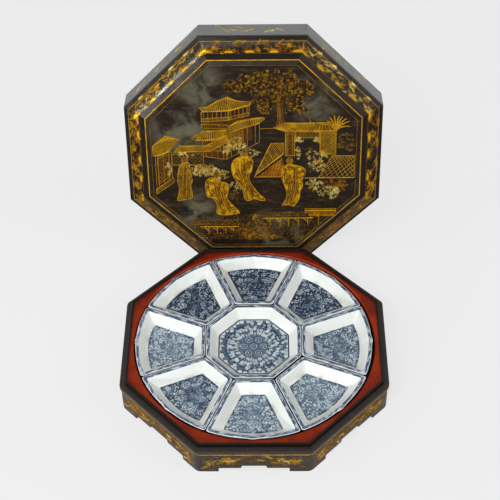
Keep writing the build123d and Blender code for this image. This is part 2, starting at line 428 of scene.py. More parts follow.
def soften(ring, passes=2):
    """Round the corners of a ring of points a little."""
    for _ in range(passes):
        ring = (np.roll(ring, 1, axis=0) + 2 * ring + np.roll(ring, -1, axis=0)) / 4
    return ring


def outer_drop(share):
    """How far the fan's outer edge falls short of its tip, from the middle, 0, to a corner, 1."""
    to_lobe = (fan_lobe_drop - fan_dip_drop) / (fan_lobe_share - fan_dip_share)
    to_corner = (fan_corner_drop - fan_lobe_drop) / (1 - fan_lobe_share)
    bend = (to_corner - to_lobe) / (1 - fan_dip_share)
    past = share - fan_dip_share
    if past >= 0:
        return fan_dip_drop + past * (to_lobe + bend * (share - fan_lobe_share))
    slope = to_lobe + bend * (fan_dip_share - fan_lobe_share)
    point = (fan_dip_drop - slope * fan_dip_share) / fan_dip_share**2
    return fan_dip_drop + slope * past - point * past**2


def fan_ring(inset, outer_inset):
    """One ring of points round a fan dish, with x outwards. The lobes of its edge fade on the way in."""
    side_shift = (dish_gap / 2 + inset) / cos(half_turn)
    tip = fan_reach - outer_inset
    stretch = 1 + side_share**2
    reach = tip - fan_corner_drop
    corner_x = (side_share * side_shift + sqrt(stretch * reach**2 - side_shift**2)) / stretch
    corner_y = corner_x * side_share - side_shift
    inner_x = fan_inner + inset
    inner_y = inner_x * side_share - side_shift
    corner_angle = atan2(corner_y, corner_x)
    ripple = max(0.0, 1 - outer_inset / (rim_width + fan_outer_run))
    edge = []
    for share in 1 - 2 * np.arange(outer_steps) / outer_steps:
        plain = fan_corner_drop * share**2
        radius = tip - plain - ripple * (outer_drop(abs(share)) - plain)
        edge.append((radius * cos(share * corner_angle), radius * sin(share * corner_angle)))
    return soften(np.vstack([
        run((inner_x, -inner_y), (inner_x, inner_y), inner_steps),
        run((inner_x, inner_y), (corner_x, corner_y), side_steps),
        np.array(edge),
        run((corner_x, -corner_y), (inner_x, -inner_y), side_steps),
    ]))


def octagon_ring(inset, outer_inset):
    """One ring of points round the centre dish."""
    reach = (centre_apothem - inset) / cos(half_turn)
    corners = [
        (reach * cos(half_turn + k * side_turn), reach * sin(half_turn + k * side_turn)) for k in range(9)
    ]
    return soften(np.vstack([run(a, b, octagon_steps) for a, b in zip(corners, corners[1:])]))


def dish_profile(outer_run):
    """The rings of a dish from foot to floor: inset, outer inset, height and the finish above it."""
    foot_inset = foot_batter + foot_width
    edge = 0.45 * mm
    rows = [
        (foot_inset + 2 * edge, foot_recess, "glaze"),
        (foot_inset, foot_recess - edge, "glaze"),
        (foot_inset, edge, "glaze"),
        (foot_inset - edge, 0.0, "glaze"),
        (foot_batter + edge, 0.0, "glaze"),
        (foot_batter, edge, "glaze"),
        (foot_batter / 2, dish_height / 2, "glaze"),
        (0.6 * edge, dish_height - 2.4 * edge, "glaze"),
        (0.2 * edge, dish_height - 1.2 * edge, "rim"),
        (0.6 * edge, dish_height - 0.4 * edge, "rim"),
        (1.6 * edge, dish_height, "rim"),
        (rim_width - 1.6 * edge, dish_height, "rim"),
        (rim_width - 0.5 * edge, dish_height - 0.4 * edge, "rim"),
    ]
    profile = [(inset, inset, height, part) for inset, height, part in rows]
    floor_level = dish_height - dish_depth
    for way in (0.05, 0.3, 0.6, 0.86):
        reach, outer_reach = (rim_width + full * way for full in (wall_run, outer_run))
        profile.append((reach, outer_reach, dish_height - dish_depth * way, "wall"))
    for past, rise in ((0.0, 0.75), (0.9, 0.25), (2.2, 0.0)):
        reach = rim_width + past * mm
        part = "floor" if past else "wall"
        profile.append((reach + wall_run, reach + outer_run, floor_level + rise * mm, part))
    for past in (6.0, 10.0):
        reach = rim_width + past * mm
        profile.append((reach + wall_run, reach + outer_run, floor_level, "floor"))
    return profile


print(
    len(fan_ring(0, 0)), "points round a fan,", len(dish_profile(fan_outer_run)), "rings from foot to floor"
)

# %% [markdown]
# The sheet becomes a dish. Its vertices are read row by row, each row is laid on its ring, and the seam and
# the two open ends are closed with merge and fill. The way round is measured on the ring at the rim's outer
# edge. The faces are sorted into rim, wall, floor and plain glaze while the rows are still known, and the
# finished dish is slid to where its node lies in the well.

# %% A sheet of squares
dish_parts = ("glaze", "rim", "wall", "floor")
plan_unit = 10.0 * mm
edge_row = 8


def only(piece):
    """Make one object the selected and active one."""
    bpy.ops.object.select_all(action="DESELECT")
    piece.select_set(True)
    bpy.context.view_layer.objects.active = piece


def sheet_of_squares(name, across, along):
    """A flat sheet of squares, with the order of its vertices, row by row."""
    bpy.ops.object.select_all(action="DESELECT")
    bpy.ops.mesh.primitive_grid_add(
        x_subdivisions=across, y_subdivisions=along, size=1.0, location=(0, 0, 0)
    )
    piece = bpy.context.object
    piece.name = name
    flat = np.zeros(len(piece.data.vertices) * 3, np.float32)
    piece.data.vertices.foreach_get("co", flat)
    flat = flat.reshape(-1, 3).round(6)
    order = np.lexsort((flat[:, 0], flat[:, 1])).reshape(along + 1, across + 1)
    return piece, order


print("parts of a dish:", dish_parts)

# %% Wrap a sheet into a dish
def points_of(mesh):
    """The places of a mesh's vertices."""
    return np.array([vertex.co for vertex in mesh.vertices])


def corners_of(mesh):
    """The vertex at each corner of each face."""
    corner = np.zeros(len(mesh.loops), int)
    mesh.loops.foreach_get("vertex_index", corner)
    return corner


def close_sheet(piece):
    """Merge the seam of a wrapped sheet and fill its two open ends."""
    only(piece)
    bpy.ops.object.mode_set(mode="EDIT")
    bpy.ops.mesh.select_all(action="SELECT")
    bpy.ops.mesh.remove_doubles(threshold=0.01 * mm)
    bpy.ops.mesh.select_all(action="DESELECT")
    bpy.ops.mesh.select_mode(type="EDGE")
    bpy.ops.mesh.select_non_manifold(use_boundary=True, use_wire=False, use_multi_face=False,
                                     use_non_contiguous=False, use_verts=False)
    bpy.ops.mesh.edge_face_add()
    bpy.ops.mesh.select_all(action="SELECT")
    bpy.ops.mesh.normals_make_consistent(inside=False)
    bpy.ops.object.mode_set(mode="OBJECT")


def map_plan(mesh, middle):
    """Give a dish the map of its plan, about a middle."""
    plan_map = mesh.uv_layers.new(name="plan_map")
    plan = (points_of(mesh)[corners_of(mesh)][:, :2] - np.array(middle)) / plan_unit
    plan_map.data.foreach_set("uv", plan.ravel())


def finish_ends(mesh, end_inset):
    """Sort the two large faces that close a dish into floor and glaze, and put them on the edge's map."""
    for face in mesh.polygons:
        if face.loop_total > 4:
            above_foot = face.center.z > foot_recess + 1.0 * mm
            face.material_index = dish_parts.index("floor" if above_foot else "glaze")
            for loop in face.loop_indices:
                mesh.uv_layers["edge_map"].data[loop].uv = (0.0, end_inset / plan_unit)


def wrap_dish(name, ring, profile, middle):
    """A closed dish, upright about the box's axis with its plan pointing along x."""
    rings = [ring(inset, outer_inset) for inset, outer_inset, height, part in profile]
    piece, order = sheet_of_squares(name, len(rings[0]), len(profile) - 1)
    mesh = piece.data
    place = np.zeros((len(mesh.vertices), 3))
    wrap = np.zeros((len(mesh.vertices), 2))
    row_of = np.zeros(len(mesh.vertices), int)
    lengths = np.linalg.norm(np.roll(rings[edge_row], -1, axis=0) - rings[edge_row], axis=1)
    round_way = np.concatenate([[0.0], np.cumsum(lengths)])
    for row, (points, (inset, outer_inset, height, part)) in enumerate(zip(rings, profile)):
        closed = np.vstack([points, points[:1]])
        place[order[row], :2] = closed
        place[order[row], 2] = height
        wrap[order[row], 0] = round_way
        wrap[order[row], 1] = inset
        row_of[order[row]] = row
    mesh.vertices.foreach_set("co", place.ravel())
    corner = corners_of(mesh)
    rows = row_of[corner].reshape(-1, 4).min(axis=1)
    parts = np.array([dish_parts.index(part) for inset, outer_inset, height, part in profile])
    mesh.polygons.foreach_set("material_index", parts[rows].astype(np.int32))
    edge_map = mesh.uv_layers[0]
    edge_map.name = "edge_map"
    edge_map.data.foreach_set("uv", (wrap[corner] / plan_unit).ravel())
    close_sheet(piece)
    map_plan(piece.data, middle)
    finish_ends(piece.data, profile[-1][0])
    return piece


print("a sheet can be wrapped")

# %% Settle the dishes in the well
rim_swell = 0.13 * mm
side_swell = 0.05 * mm
dish_seed = 40


def settle(piece, node, turn, seed):
    """Turn a dish to its side, slide it to its node, and make it as uneven as a hand-pressed one."""
    piece.data.transform(Matrix.Rotation(turn, 4, "Z"))
    low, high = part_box(node)
    place = points_of(piece.data)
    shift = np.array((low + high) / 2) - (place.min(axis=0) + place.max(axis=0)) / 2
    place[:, :2] += shift[:2]
    place[:, 2] += low.z
    chance = random.Random(seed)
    waves = [(chance.uniform(18, 46), chance.uniform(18, 46), chance.uniform(0, 6.3)) for _ in range(4)]
    rise = np.clip((place[:, 2] - low.z) / dish_height, 0, 1)
    for along_x, along_y, start in waves:
        swell = np.sin(place[:, 0] * along_x + place[:, 1] * along_y + start)
        place[:, 2] += rim_swell * swell * rise
        place[:, 0] += side_swell * swell * rise
    piece.data.vertices.foreach_set("co", place.ravel())
    piece.data.update()
    only(piece)
    bpy.ops.object.shade_smooth_by_angle(angle=radians(32))


fan_middle = ((fan_inner + fan_reach) / 2, 0.0)
dishes = {"dish_centre": wrap_dish("porcelain_centre", octagon_ring, dish_profile(wall_run), (0.0, 0.0))}
first_fan = wrap_dish("porcelain_right", fan_ring, dish_profile(fan_outer_run), fan_middle)
for index, side_name in enumerate(side_names):
    fan = first_fan
    if index:
        fan = first_fan.copy()
        fan.data = first_fan.data.copy()
        fan.name = f"porcelain_{side_name}"
        bpy.context.scene.collection.objects.link(fan)
    dishes[f"dish_{side_name}"] = fan
for index, (node, dish) in enumerate(dishes.items()):
    settle(dish, node, max(index - 1, 0) * side_turn, dish_seed + index)
    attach(dish, node)
    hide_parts(node)
print(len(dishes), "dishes of", len(first_fan.data.polygons), "faces")

# %% [markdown]
# Blue and white. The painter laid pale washes, then darker lines, under one clear glaze, so the gloss is
# the same everywhere and only the colour changes. Every finish below works out one number, how much blue
# lies at a point, and a colour ramp turns it into white, wash or deep blue. The number comes from the maps
# that each dish carries.

# %% The blue of the porcelain
def blue_ramp(tree, amount, wash=(104, 126, 145), deep=(42, 54, 76)):
    """From white porcelain through pale wash to deep slaty blue."""
    ramp = add_node(tree, "ValToRGB", {"Fac": amount})
    stops = ((0.0, (234, 238, 235)), (0.3, (186, 199, 203)), (0.62, wash), (1.0, deep))
    while len(ramp.color_ramp.elements) < len(stops):
        ramp.color_ramp.elements.new(0.5)
    for element, (place, tint) in zip(ramp.color_ramp.elements, stops):
        element.position = place
        element.color = colour(*tint)
    return ramp.outputs["Color"]


def dish_map(tree, name):
    """One of the maps that a dish carries, in centimetres."""
    return add_node(tree, "UVMap", uv_map=name).outputs["UV"]


def dish_value(tree, name):
    """A number that a dish carries."""
    return add_node(tree, "Attribute", attribute_name=name).outputs["Fac"]


def axes(tree, where):
    """The two numbers of a flat place."""
    split = add_node(tree, "SeparateXYZ", {"Vector": where})
    return split.outputs["X"], split.outputs["Y"]


def dish_offset(tree, where):
    """A place moved by the dish's own number, so that no two dishes are painted alike."""
    number = dish_value(tree, "dish_number")
    move = add_node(tree, "CombineXYZ", {"X": times(tree, number, 7.3),
                                         "Y": times(tree, number, 3.7)})
    return vector_work(tree, "ADD", where, move.outputs[0])


def between(tree, value, low, high, soft=0.04):
    """1 between two limits and 0 outside, with soft edges."""
    above = step_up(tree, value, low - soft, low + soft)
    return times(tree, above, step_up(tree, value, high + soft, high - soft))


def add_up(tree, *terms):
    """The sum of several numbers."""
    total = terms[0]
    for term in terms[1:]:
        total = work_out(tree, "ADD", total, term)
    return total


def lay_over(tree, share, under, over):
    """One number laid over another by a share."""
    return add_node(tree, "Mix", {0: share, 2: under, 3: over}, data_type="FLOAT").outputs[0]


def finish_glaze(tree, shader, tint, gloss=0.2):
    """Specks, faint unevenness and gloss, the same on every glazed surface."""
    where = object_place(tree)
    spots = add_node(tree, "TexVoronoi", {"Vector": where, "Scale": 95.0})
    rare = add_node(tree, "SeparateColor", {"Color": spots.outputs["Color"]})
    small = work_out(tree, "LESS_THAN", spots.outputs["Distance"], 0.055)
    chosen = work_out(tree, "GREATER_THAN", rare.outputs["Red"], 0.86)
    speck = times(tree, small, chosen)
    wire(tree, blend_colours(tree, speck, tint, colour(120, 92, 66)), shader.inputs["Base Color"])
    shader.inputs["Roughness"].default_value = gloss
    shader.inputs["Specular IOR Level"].default_value = 0.4
    bump = add_node(
        tree, "Bump", {"Height": cloud(tree, where, 140.0), "Strength": 0.12, "Distance": 0.3 * mm}
    )
    wire(tree, bump.outputs["Normal"], shader.inputs["Normal"])


def white_glaze(tree, stain=0.0):
    """Porcelain white, a little greyer and warmer in places."""
    where = object_place(tree)
    shade = step_up(tree, cloud(tree, where, 26.0, detail=5.0), 0.35, 0.75)
    white = blend_colours(tree, shade, colour(237, 240, 236), colour(225, 229, 223))
    return blend_colours(tree, stain, white, colour(176, 164, 138))


print("painting helpers ready")

# %% Plain glaze and wall glaze
glaze_finish, tree, shader = new_finish("plain_glaze")
finish_glaze(tree, shader, white_glaze(tree))

wall_finish, tree, shader = new_finish("wall_glaze")
round_way, inset = axes(tree, dish_map(tree, "edge_map"))
floor_edge = (rim_width + wall_run) / plan_unit
low_on_wall = step_up(tree, inset, floor_edge - 0.4, floor_edge + 0.06)
dirt = step_up(tree, cloud(tree, object_place(tree), 55.0, detail=5.0), 0.45, 0.72, 0.0, 0.75)
finish_glaze(tree, shader, white_glaze(tree, times(tree, low_on_wall, dirt)), 0.32)
print("plain and wall glaze made")

# %% [markdown]
# The rim has a painted border inside a white edge: a pale wash with long dark strokes that run along the
# rim and break off, as a quick brush leaves them. Noise that is stretched along the way round the edge
# gives such strokes.

# %% Painted rim
rim_finish, tree, shader = new_finish("painted_rim")
round_way, inset = axes(tree, dish_map(tree, "edge_map"))
stretched = add_node(tree, "CombineXYZ", {
    "X": times(tree, round_way, 0.6),
    "Y": times(tree, inset, 2.6),
    "Z": times(tree, dish_value(tree, "dish_number"), 3.1),
}).outputs[0]
strokes = cloud(tree, stretched, 1.7, detail=3.0)
inner_strokes = times(tree, between(tree, inset, 0.13, 0.47), step_up(tree, strokes, 0.43, 0.53, 0.0, 0.42))
outer_strokes = times(tree, between(tree, inset, 0.09, 0.18), step_up(tree, strokes, 0.5, 0.58, 0.0, 0.28))
wash = times(tree, between(tree, inset, 0.08, 0.48), step_up(tree, strokes, 0.34, 0.5, 0.2, 0.5))
inner_line = times(tree, between(tree, inset, 0.42, 0.48, 0.03), step_up(tree, strokes, 0.3, 0.5, 0.1, 0.3))
rim_blue = add_up(tree, wash, inner_strokes, outer_strokes, inner_line)
rim_tint = blue_ramp(tree, rim_blue, (110, 128, 154), (50, 64, 90))
chips = step_up(tree, cloud(tree, object_place(tree), 260.0, detail=3.0), 0.62, 0.68, 0.0, 0.7)
at_edge = work_out(tree, "SUBTRACT", 1.0, step_up(tree, inset, 0.03, 0.07))
worn_rim = blend_colours(tree, times(tree, chips, at_edge), rim_tint, colour(128, 100, 74))
finish_glaze(tree, shader, worn_rim)
print("painted rim made")

# %% [markdown]
# The floors of the fan dishes are filled with white buds and curling blossoms on a slaty wash. Cells are
# scattered over the floor: near the middle of a small cell lies a bud, and in a large cell the angle round
# its middle plus the distance from it draws a spiral. Slow noise chooses which of the two lies where, and
# pulls the places about a little, so that no bud stays a round dot.

# %% Buds and curls
def cells_of(tree, where, scale, spread=0.85):
    """Scattered flat cells."""
    return add_node(
        tree, "TexVoronoi", {"Vector": where, "Scale": scale, "Randomness": spread}, voronoi_dimensions="2D"
    )


def buds(tree, where, scale, size, soft=0.14, spread=0.85):
    """White buds, one in each small cell, some larger and whiter than others."""
    cells = cells_of(tree, where, scale, spread)
    chance = add_node(tree, "SeparateColor", {"Color": cells.outputs["Color"]})
    edge = work_out(tree, "SUBTRACT", cells.outputs["Distance"], times(tree, chance.outputs["Red"], 0.14))
    white = times(
        tree, step_up(tree, edge, size, size - soft),
        step_up(tree, chance.outputs["Green"], 0.0, 1.0, 0.6, 1.0)
    )
    return white, between(tree, edge, size, size + 0.1)


def curls(tree, where, scale, turns, reach):
    """White spirals in large cells, and how far inside its cell a point lies."""
    cells = cells_of(tree, where, scale)
    local = vector_work(tree, "SUBTRACT", where, cells.outputs["Position"])
    along, up = axes(tree, local)
    chance = add_node(tree, "SeparateColor", {"Color": cells.outputs["Color"]})
    turned = work_out(
        tree, "ADD", work_out(tree, "ARCTAN2", up, along), times(tree, chance.outputs["Red"], 2 * pi)
    )
    distance = cells.outputs["Distance"]
    phase = work_out(tree, "ADD", turned, times(tree, distance, turns * 2 * pi / reach))
    line = step_up(tree, work_out(tree, "SINE", phase), 0.0, 0.7)
    return line, step_up(tree, distance, reach, reach * 0.85)


print("buds and curls ready")

# %% Painted floor of the fan dishes
fan_floor, tree, shader = new_finish("painted_fan_floor")
where = dish_offset(tree, dish_map(tree, "plan_map"))
wander = add_node(tree, "TexNoise", {"Vector": where, "Scale": 1.9, "Detail": 2.0}).outputs["Color"]
centred = vector_work(tree, "SUBTRACT", wander, (0.5, 0.5, 0.5))
shift = add_node(tree, "VectorMath", {0: centred, "Scale": 0.75}, operation="SCALE").outputs[0]
where = vector_work(tree, "ADD", where, shift)
round_way, inset = axes(tree, dish_map(tree, "edge_map"))
darkness = dish_value(tree, "floor_darkness")
wash = step_up(tree, cloud(tree, where, 0.8, detail=5.0), 0.3, 0.7, 0.58, 0.84)
bud_white, bud_edge = buds(tree, where, 2.6, 0.31)
curl_line, curl_inside = curls(tree, where, 1.15, 1.7, 0.47)
choose = step_up(tree, cloud(tree, where, 0.42, detail=1.0), 0.4, 0.46)
curl_white = times(tree, curl_line, curl_inside, choose)
white = work_out(tree, "MAXIMUM", times(tree, bud_white, lay_over(tree, choose, 0.95, 0.5)), curl_white)
from_middle = vector_work(tree, "LENGTH", dish_map(tree, "plan_map"))
quiet = step_up(tree, from_middle, 0.8, 1.9, 0.54, 0.84)
painted = times(tree, wash, work_out(tree, "SUBTRACT", 1.0, times(tree, white, quiet)))
near_wall = step_up(tree, inset, floor_edge + 0.5, floor_edge + 0.2, 0.0, 0.36)
patchy = step_up(tree, cloud(tree, where, 0.7, detail=2.0), 0.42, 0.56)
painted = add_up(tree, painted, times(tree, bud_edge, 0.16), times(tree, near_wall, patchy))
# Floors are darker by the number each dish carries, most on the rear dishes.
painted = times(tree, painted, step_up(tree, darkness, 0.0, 1.0, 0.78, 1.5))
painted = times(tree, painted, step_up(tree, inset, floor_edge, floor_edge + 0.06))
finish_glaze(tree, shader, blue_ramp(tree, painted))
print("fan floors painted")

# %% [markdown]
# The centre dish is painted in rings: a fine line round the floor, a border of white petals, a broken dark
# ring, a field of buds, and a darker heart with seven small rosettes. Distance and angle from the middle
# give the rings, and folding the angle into six equal parts repeats one rosette round the centre.

# %% Painted floor of the centre dish
rosette_count = 6
rosette_reach = 1.3
rosette_radius = 0.68
heart_edge = (2.05, 1.8)
ring_edges = (3.6, 3.84)
centre_floor, tree, shader = new_finish("painted_centre_floor")
where = dish_map(tree, "plan_map")
across, up = axes(tree, where)
round_way, inset = axes(tree, dish_map(tree, "edge_map"))
distance = vector_work(tree, "LENGTH", where)
folded = work_out(tree, "PINGPONG", work_out(tree, "ARCTAN2", up, across), pi / rosette_count)
rosette_x = work_out(
    tree, "SUBTRACT", times(tree, distance, work_out(tree, "COSINE", folded)), rosette_reach
)
rosette_y = times(tree, distance, work_out(tree, "SINE", folded))
rosette_place = add_node(tree, "CombineXYZ", {"X": rosette_x, "Y": rosette_y}).outputs[0]
rosette_from = vector_work(tree, "LENGTH", rosette_place)
nearest = work_out(tree, "MINIMUM", rosette_from, distance)
wash = step_up(tree, cloud(tree, where, 0.8, detail=4.0), 0.3, 0.7, 0.66, 0.86)
turned = times(tree, work_out(tree, "ARCTAN2", up, across), 3.0)
petal_place = add_node(tree, "CombineXYZ", {"X": turned, "Y": times(tree, distance, 0.62)}).outputs[0]
bud_white, bud_edge = buds(tree, petal_place, 2.3, 0.43, spread=0.65)
dot_white = buds(tree, where, 4.2, 0.34)[0]
petals = times(tree, wash, work_out(tree, "SUBTRACT", 1.0, times(tree, bud_white, 0.76)))
petals = add_up(tree, petals, times(tree, bud_edge, 0.42))
rosette_rings = step_up(tree, work_out(tree, "SINE", times(tree, nearest, 19.0)), -0.2, 0.7, 0.92, 0.56)
heart = lay_over(tree, step_up(tree, nearest, rosette_radius, rosette_radius - 0.08), 0.86, rosette_rings)
heart = work_out(tree, "SUBTRACT", heart, times(tree, dot_white, 0.3))
ragged = work_out(
    tree, "ADD", distance, step_up(tree, cloud(tree, where, 1.4, detail=2.0), 0.3, 0.7, -0.25, 0.25)
)
painted = lay_over(tree, step_up(tree, ragged, *heart_edge), petals, heart)
broken = step_up(tree, cloud(tree, where, 0.6, detail=2.0), 0.36, 0.5)
dark_ring = times(tree, between(tree, distance, *ring_edges, 0.07), times(tree, broken, 0.55))
painted = times(
    tree, work_out(tree, "ADD", painted, dark_ring),
    step_up(tree, inset, floor_edge + 0.3, floor_edge + 0.36)
)
fine_line = between(tree, inset, floor_edge + 0.08, floor_edge + 0.28, 0.03)
finish_glaze(tree, shader, blue_ramp(tree, work_out(tree, "MAXIMUM", painted, fine_line)))
print("centre floor painted")

# %% Finishes of the dishes
# How dark each dish's floor is painted: darkest on the rear dishes.
floor_darkness_by_dish = dict.fromkeys(dishes, 0.35)
floor_darkness_by_dish.update(
    dish_rear=1.0, dish_rear_left=0.9, dish_rear_right=1.0, dish_front_left=0.6, dish_right=0.5,
    dish_left=0.3
)
for index, (node, dish) in enumerate(dishes.items()):
    painted_floor = fan_floor if index else centre_floor
    for finish in (glaze_finish, rim_finish, wall_finish, painted_floor):
        dish.data.materials.append(finish)
    for name, value in (("dish_number", float(index)), ("floor_darkness", floor_darkness_by_dish[node])):
        carried = dish.data.attributes.new(name, "FLOAT", "POINT")
        carried.data.foreach_set("value", np.full(len(dish.data.vertices), value, np.float32))
print("porcelain finished")

# %% [markdown]
# Gold on lacquer. The gilder drew with a fine brush in sticky lacquer and dusted gold on it, so every line
# stands a hair proud of the ground. Here each brush line is a curve with a round bevel, thinner at its
# ends, and each filled shape is a face with a little thickness. Both are drawn flat on a sheet, in
# millimetres, made into meshes, and then laid on the board that carries them. Five golds, from pale to
# worn, and a brown and a black line are enough.

# %% Gold finishes
def make_gilt(name, bright, deep, ground, wear_from, grain=85.0, soft=0.18):
    """Gold that changes from bright to deep and is rubbed through to the ground in places."""
    finish, tree, shader = new_finish(name)
    where = object_place(tree)
    change = step_up(tree, cloud(tree, where, grain, detail=5.0), 0.5 - soft, 0.5 + soft)
    rubbed = step_up(
        tree, cloud(tree, where, 240.0, detail=6.0, roughness=0.65), wear_from, wear_from + 0.14
    )
    tint = blend_colours(tree, change, deep, bright)
    wire(tree, blend_colours(tree, rubbed, tint, ground), shader.inputs["Base Color"])
    wire(tree, step_up(tree, change, 0.0, 1.0, 0.5, 0.36), shader.inputs["Roughness"])
    shader.inputs["Metallic"].default_value = 0.45
    shader.inputs["Specular IOR Level"].default_value = 0.12
    return finish


bright_gold, orange_gold, pale_gold, worn_gold, robe_gold, brown_line, dark_line = range(7)
gilding_finishes = [
    make_gilt("bright_gold", colour(216, 166, 18), colour(174, 122, 10), colour(88, 56, 10), 0.6),
    make_gilt("orange_gold", colour(184, 122, 10), colour(136, 82, 6), colour(72, 40, 6), 0.58),
    make_gilt("pale_gold", colour(240, 222, 138), colour(192, 166, 76), colour(84, 72, 36), 0.58),
    make_gilt("worn_gold", colour(146, 108, 26), colour(102, 74, 16), colour(54, 38, 14), 0.52),
    make_gilt("robe_gold", colour(216, 162, 14), colour(112, 72, 8), colour(60, 38, 8), 0.54, 150.0, 0.11),
    make_lacquer("brown_line", colour(74, 46, 10), colour(46, 28, 8), 0.5, 0.5, shine=0.1),
    make_lacquer("dark_line", colour(26, 20, 14), colour(50, 36, 20), 0.6, 0.4, shine=0.1),
]
print([finish.name for finish in gilding_finishes])

# %% Pen: lines and shapes on a flat sheet
class Pen:
    """Collects brush lines and filled shapes, in millimetres on a flat sheet."""

    def __init__(self, seed):
        self.lines = []
        self.shapes = []
        self.chance = random.Random(seed)

    def line(self, points, width=0.5, gold=bright_gold, ends=(1.0, 1.0), lift=0.12, closed=False):
        """A brush line through points, with its width at the middle and shares of it at the two ends."""
        self.lines.append((points, width, gold, ends, lift, closed))

    def shape(self, points, gold=bright_gold, lift=0.1):
        """A filled shape."""
        self.shapes.append((points, gold, lift))

    def near(self, spread):
        """A small chance shift."""
        return self.chance.uniform(-spread, spread)


print("pen ready, with", len(gilding_finishes), "finishes")

# %% From lines and shapes to meshes
line_flatness = 0.3
shape_thickness = 0.1


def face_outwards(piece):
    """Turn the faces of a piece outwards."""
    only(piece)
    bpy.ops.object.mode_set(mode="EDIT")
    bpy.ops.mesh.select_all(action="SELECT")
    bpy.ops.mesh.normals_make_consistent(inside=False)
    bpy.ops.object.mode_set(mode="OBJECT")


def brush_lines(name, lines):
    """All the brush lines of a sheet as one mesh."""
    curve = bpy.data.curves.new(name, "CURVE")
    curve.dimensions = "3D"
    curve.twist_mode = "Z_UP"
    curve.bevel_depth = 1.0
    curve.bevel_resolution = 0
    curve.use_fill_caps = True
    curve.resolution_u = 3
    for finish in gilding_finishes:
        curve.materials.append(finish)
    for points, width, gold, ends, lift, closed in lines:
        kind = "NURBS" if len(points) > 2 and not closed else "POLY"
        spline = curve.splines.new(kind)
        spline.points.add(len(points) - 1)
        last = max(len(points) - 1, 1)
        for step, (point, (across, up)) in enumerate(zip(spline.points, points)):
            way = step / last
            thin = ends[0] + (1 - ends[0]) * min(1.0, 2 * way)
            if way > 0.5:
                thin = 1 + (ends[1] - 1) * (2 * way - 1)
            point.co = (across, up, lift / line_flatness, 1.0)
            point.radius = width / 2 * thin
        if kind == "NURBS":
            spline.order_u = 3
            spline.use_endpoint_u = True
        spline.use_cyclic_u = closed
        spline.material_index = gold
    piece = bpy.data.objects.new(name, curve)
    bpy.context.scene.collection.objects.link(piece)
    only(piece)
    bpy.ops.object.convert(target="MESH")
    return bpy.context.object


def cut_shapes(name, shapes):
    """All the filled shapes of a sheet as one mesh with a little thickness."""
    corners, faces, golds = [], [], []
    for points, gold, lift in shapes:
        faces.append(list(range(len(corners), len(corners) + len(points))))
        corners.extend((across, up, lift) for across, up in points)
        golds.append(gold)
    mesh = bpy.data.meshes.new(name)
    mesh.from_pydata(corners, [], faces)
    for finish in gilding_finishes:
        mesh.materials.append(finish)
    mesh.polygons.foreach_set("material_index", np.array(golds, np.int32))
    piece = bpy.data.objects.new(name, mesh)
    bpy.context.scene.collection.objects.link(piece)
    face_outwards(piece)
    thick = piece.modifiers.new("thickness", "SOLIDIFY")
    thick.thickness = shape_thickness
    thick.offset = 0.0
    bpy.ops.object.modifier_apply(modifier=thick.name)
    return piece


print(f"a line is {line_flatness} as high as wide, a shape {shape_thickness} mm thick")

# %% Lay and gather the sheets
def lay_sheet(name, pen, place):
    """Make a pen's lines and shapes and lay them on a board by its map from sheet to object."""
    made = []
    if pen.lines:
        made.append((brush_lines(name + "_lines", pen.lines), line_flatness))
    if pen.shapes:
        made.append((cut_shapes(name + "_shapes", pen.shapes), 1.0))
    for piece, flatness in made:
        sheet = points_of(piece.data)
        sheet[:, 2] *= flatness
        piece.data.vertices.foreach_set("co", place(sheet * mm).ravel())
        piece.data.update()
    return [piece for piece, flatness in made]


def gather(name, pieces, body):
    """Join laid sheets into one named piece that moves with a body."""
    only(pieces[0])
    for piece in pieces:
        piece.select_set(True)
    if len(pieces) > 1:
        bpy.ops.object.join()
    joined = bpy.context.object
    joined.name = name
    joined.data.name = name
    face_outwards(joined)
    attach(joined, body)
    print(name, "has", sum(len(face.vertices) - 2 for face in joined.data.polygons), "triangles")


print("sheets can be laid")

# %% [markdown]
# The sheets are laid by four small maps. The lid leans back, so its points go through its own frame first:
# across, up the lid, and out of its top. The canted band bulges a little, which a parabola follows closely
# enough.

# %% Where the sheets lie
panel_flat = 140.8 * mm
lid_height = 52.1 * mm
slope_high = 49.3 * mm
panel_apothem = 146.0 * mm
band_outer = 171.0 * mm
band_low = 39.8 * mm
band_width = 16.4 * mm
band_rise = 6.7 * mm
band_bulge = 0.9 * mm
scene_rise = 4.0 * mm
band_across = hypot(band_width, band_rise)
lid_middle_y = lid_front + panel_flat * sin(lid_lean) + lid_height * cos(lid_lean)


def in_lid(across, up, out):
    """Points of the lid's own frame as points of the object."""
    return np.column_stack([
        across,
        lid_middle_y + up * sin(lid_lean) - out * cos(lid_lean),
        (apothem + up) * cos(lid_lean) + out * sin(lid_lean),
    ])


def turned_in_lid(index, reach, along, out):
    """Points of one side of the lid: distance from its middle, way along the side, and height."""
    angle = index * side_turn
    return in_lid(reach * cos(angle) - along * sin(angle), reach * sin(angle) + along * cos(angle), out)


def on_panel(sheet):
    """The lid's flat top panel, with the scene set a little above its middle."""
    return in_lid(sheet[:, 0], sheet[:, 1] + scene_rise, lid_height + sheet[:, 2])


def on_band(index):
    """One canted band of the lid: along the side, and across the band from its outer edge."""
    out_share = band_rise / band_across
    up_share = band_width / band_across

    def place(sheet):
        share = sheet[:, 1] / band_across
        swell = band_bulge * 4 * share * (1 - share) + sheet[:, 2]
        reach = band_outer - band_width * share + swell * out_share
        return turned_in_lid(index, reach, -sheet[:, 0], band_low + band_rise * share + swell * up_share)

    return place


def on_skirt(index):
    """One skirt board of the lid: along the side, and up from the open rim."""
    def place(sheet):
        return turned_in_lid(index, apothem + sheet[:, 2], -sheet[:, 0], sheet[:, 1])

    return place


apron_bend = 12.0 * mm
apron_flat = apron_outer * side_share - apron_bend * side_share


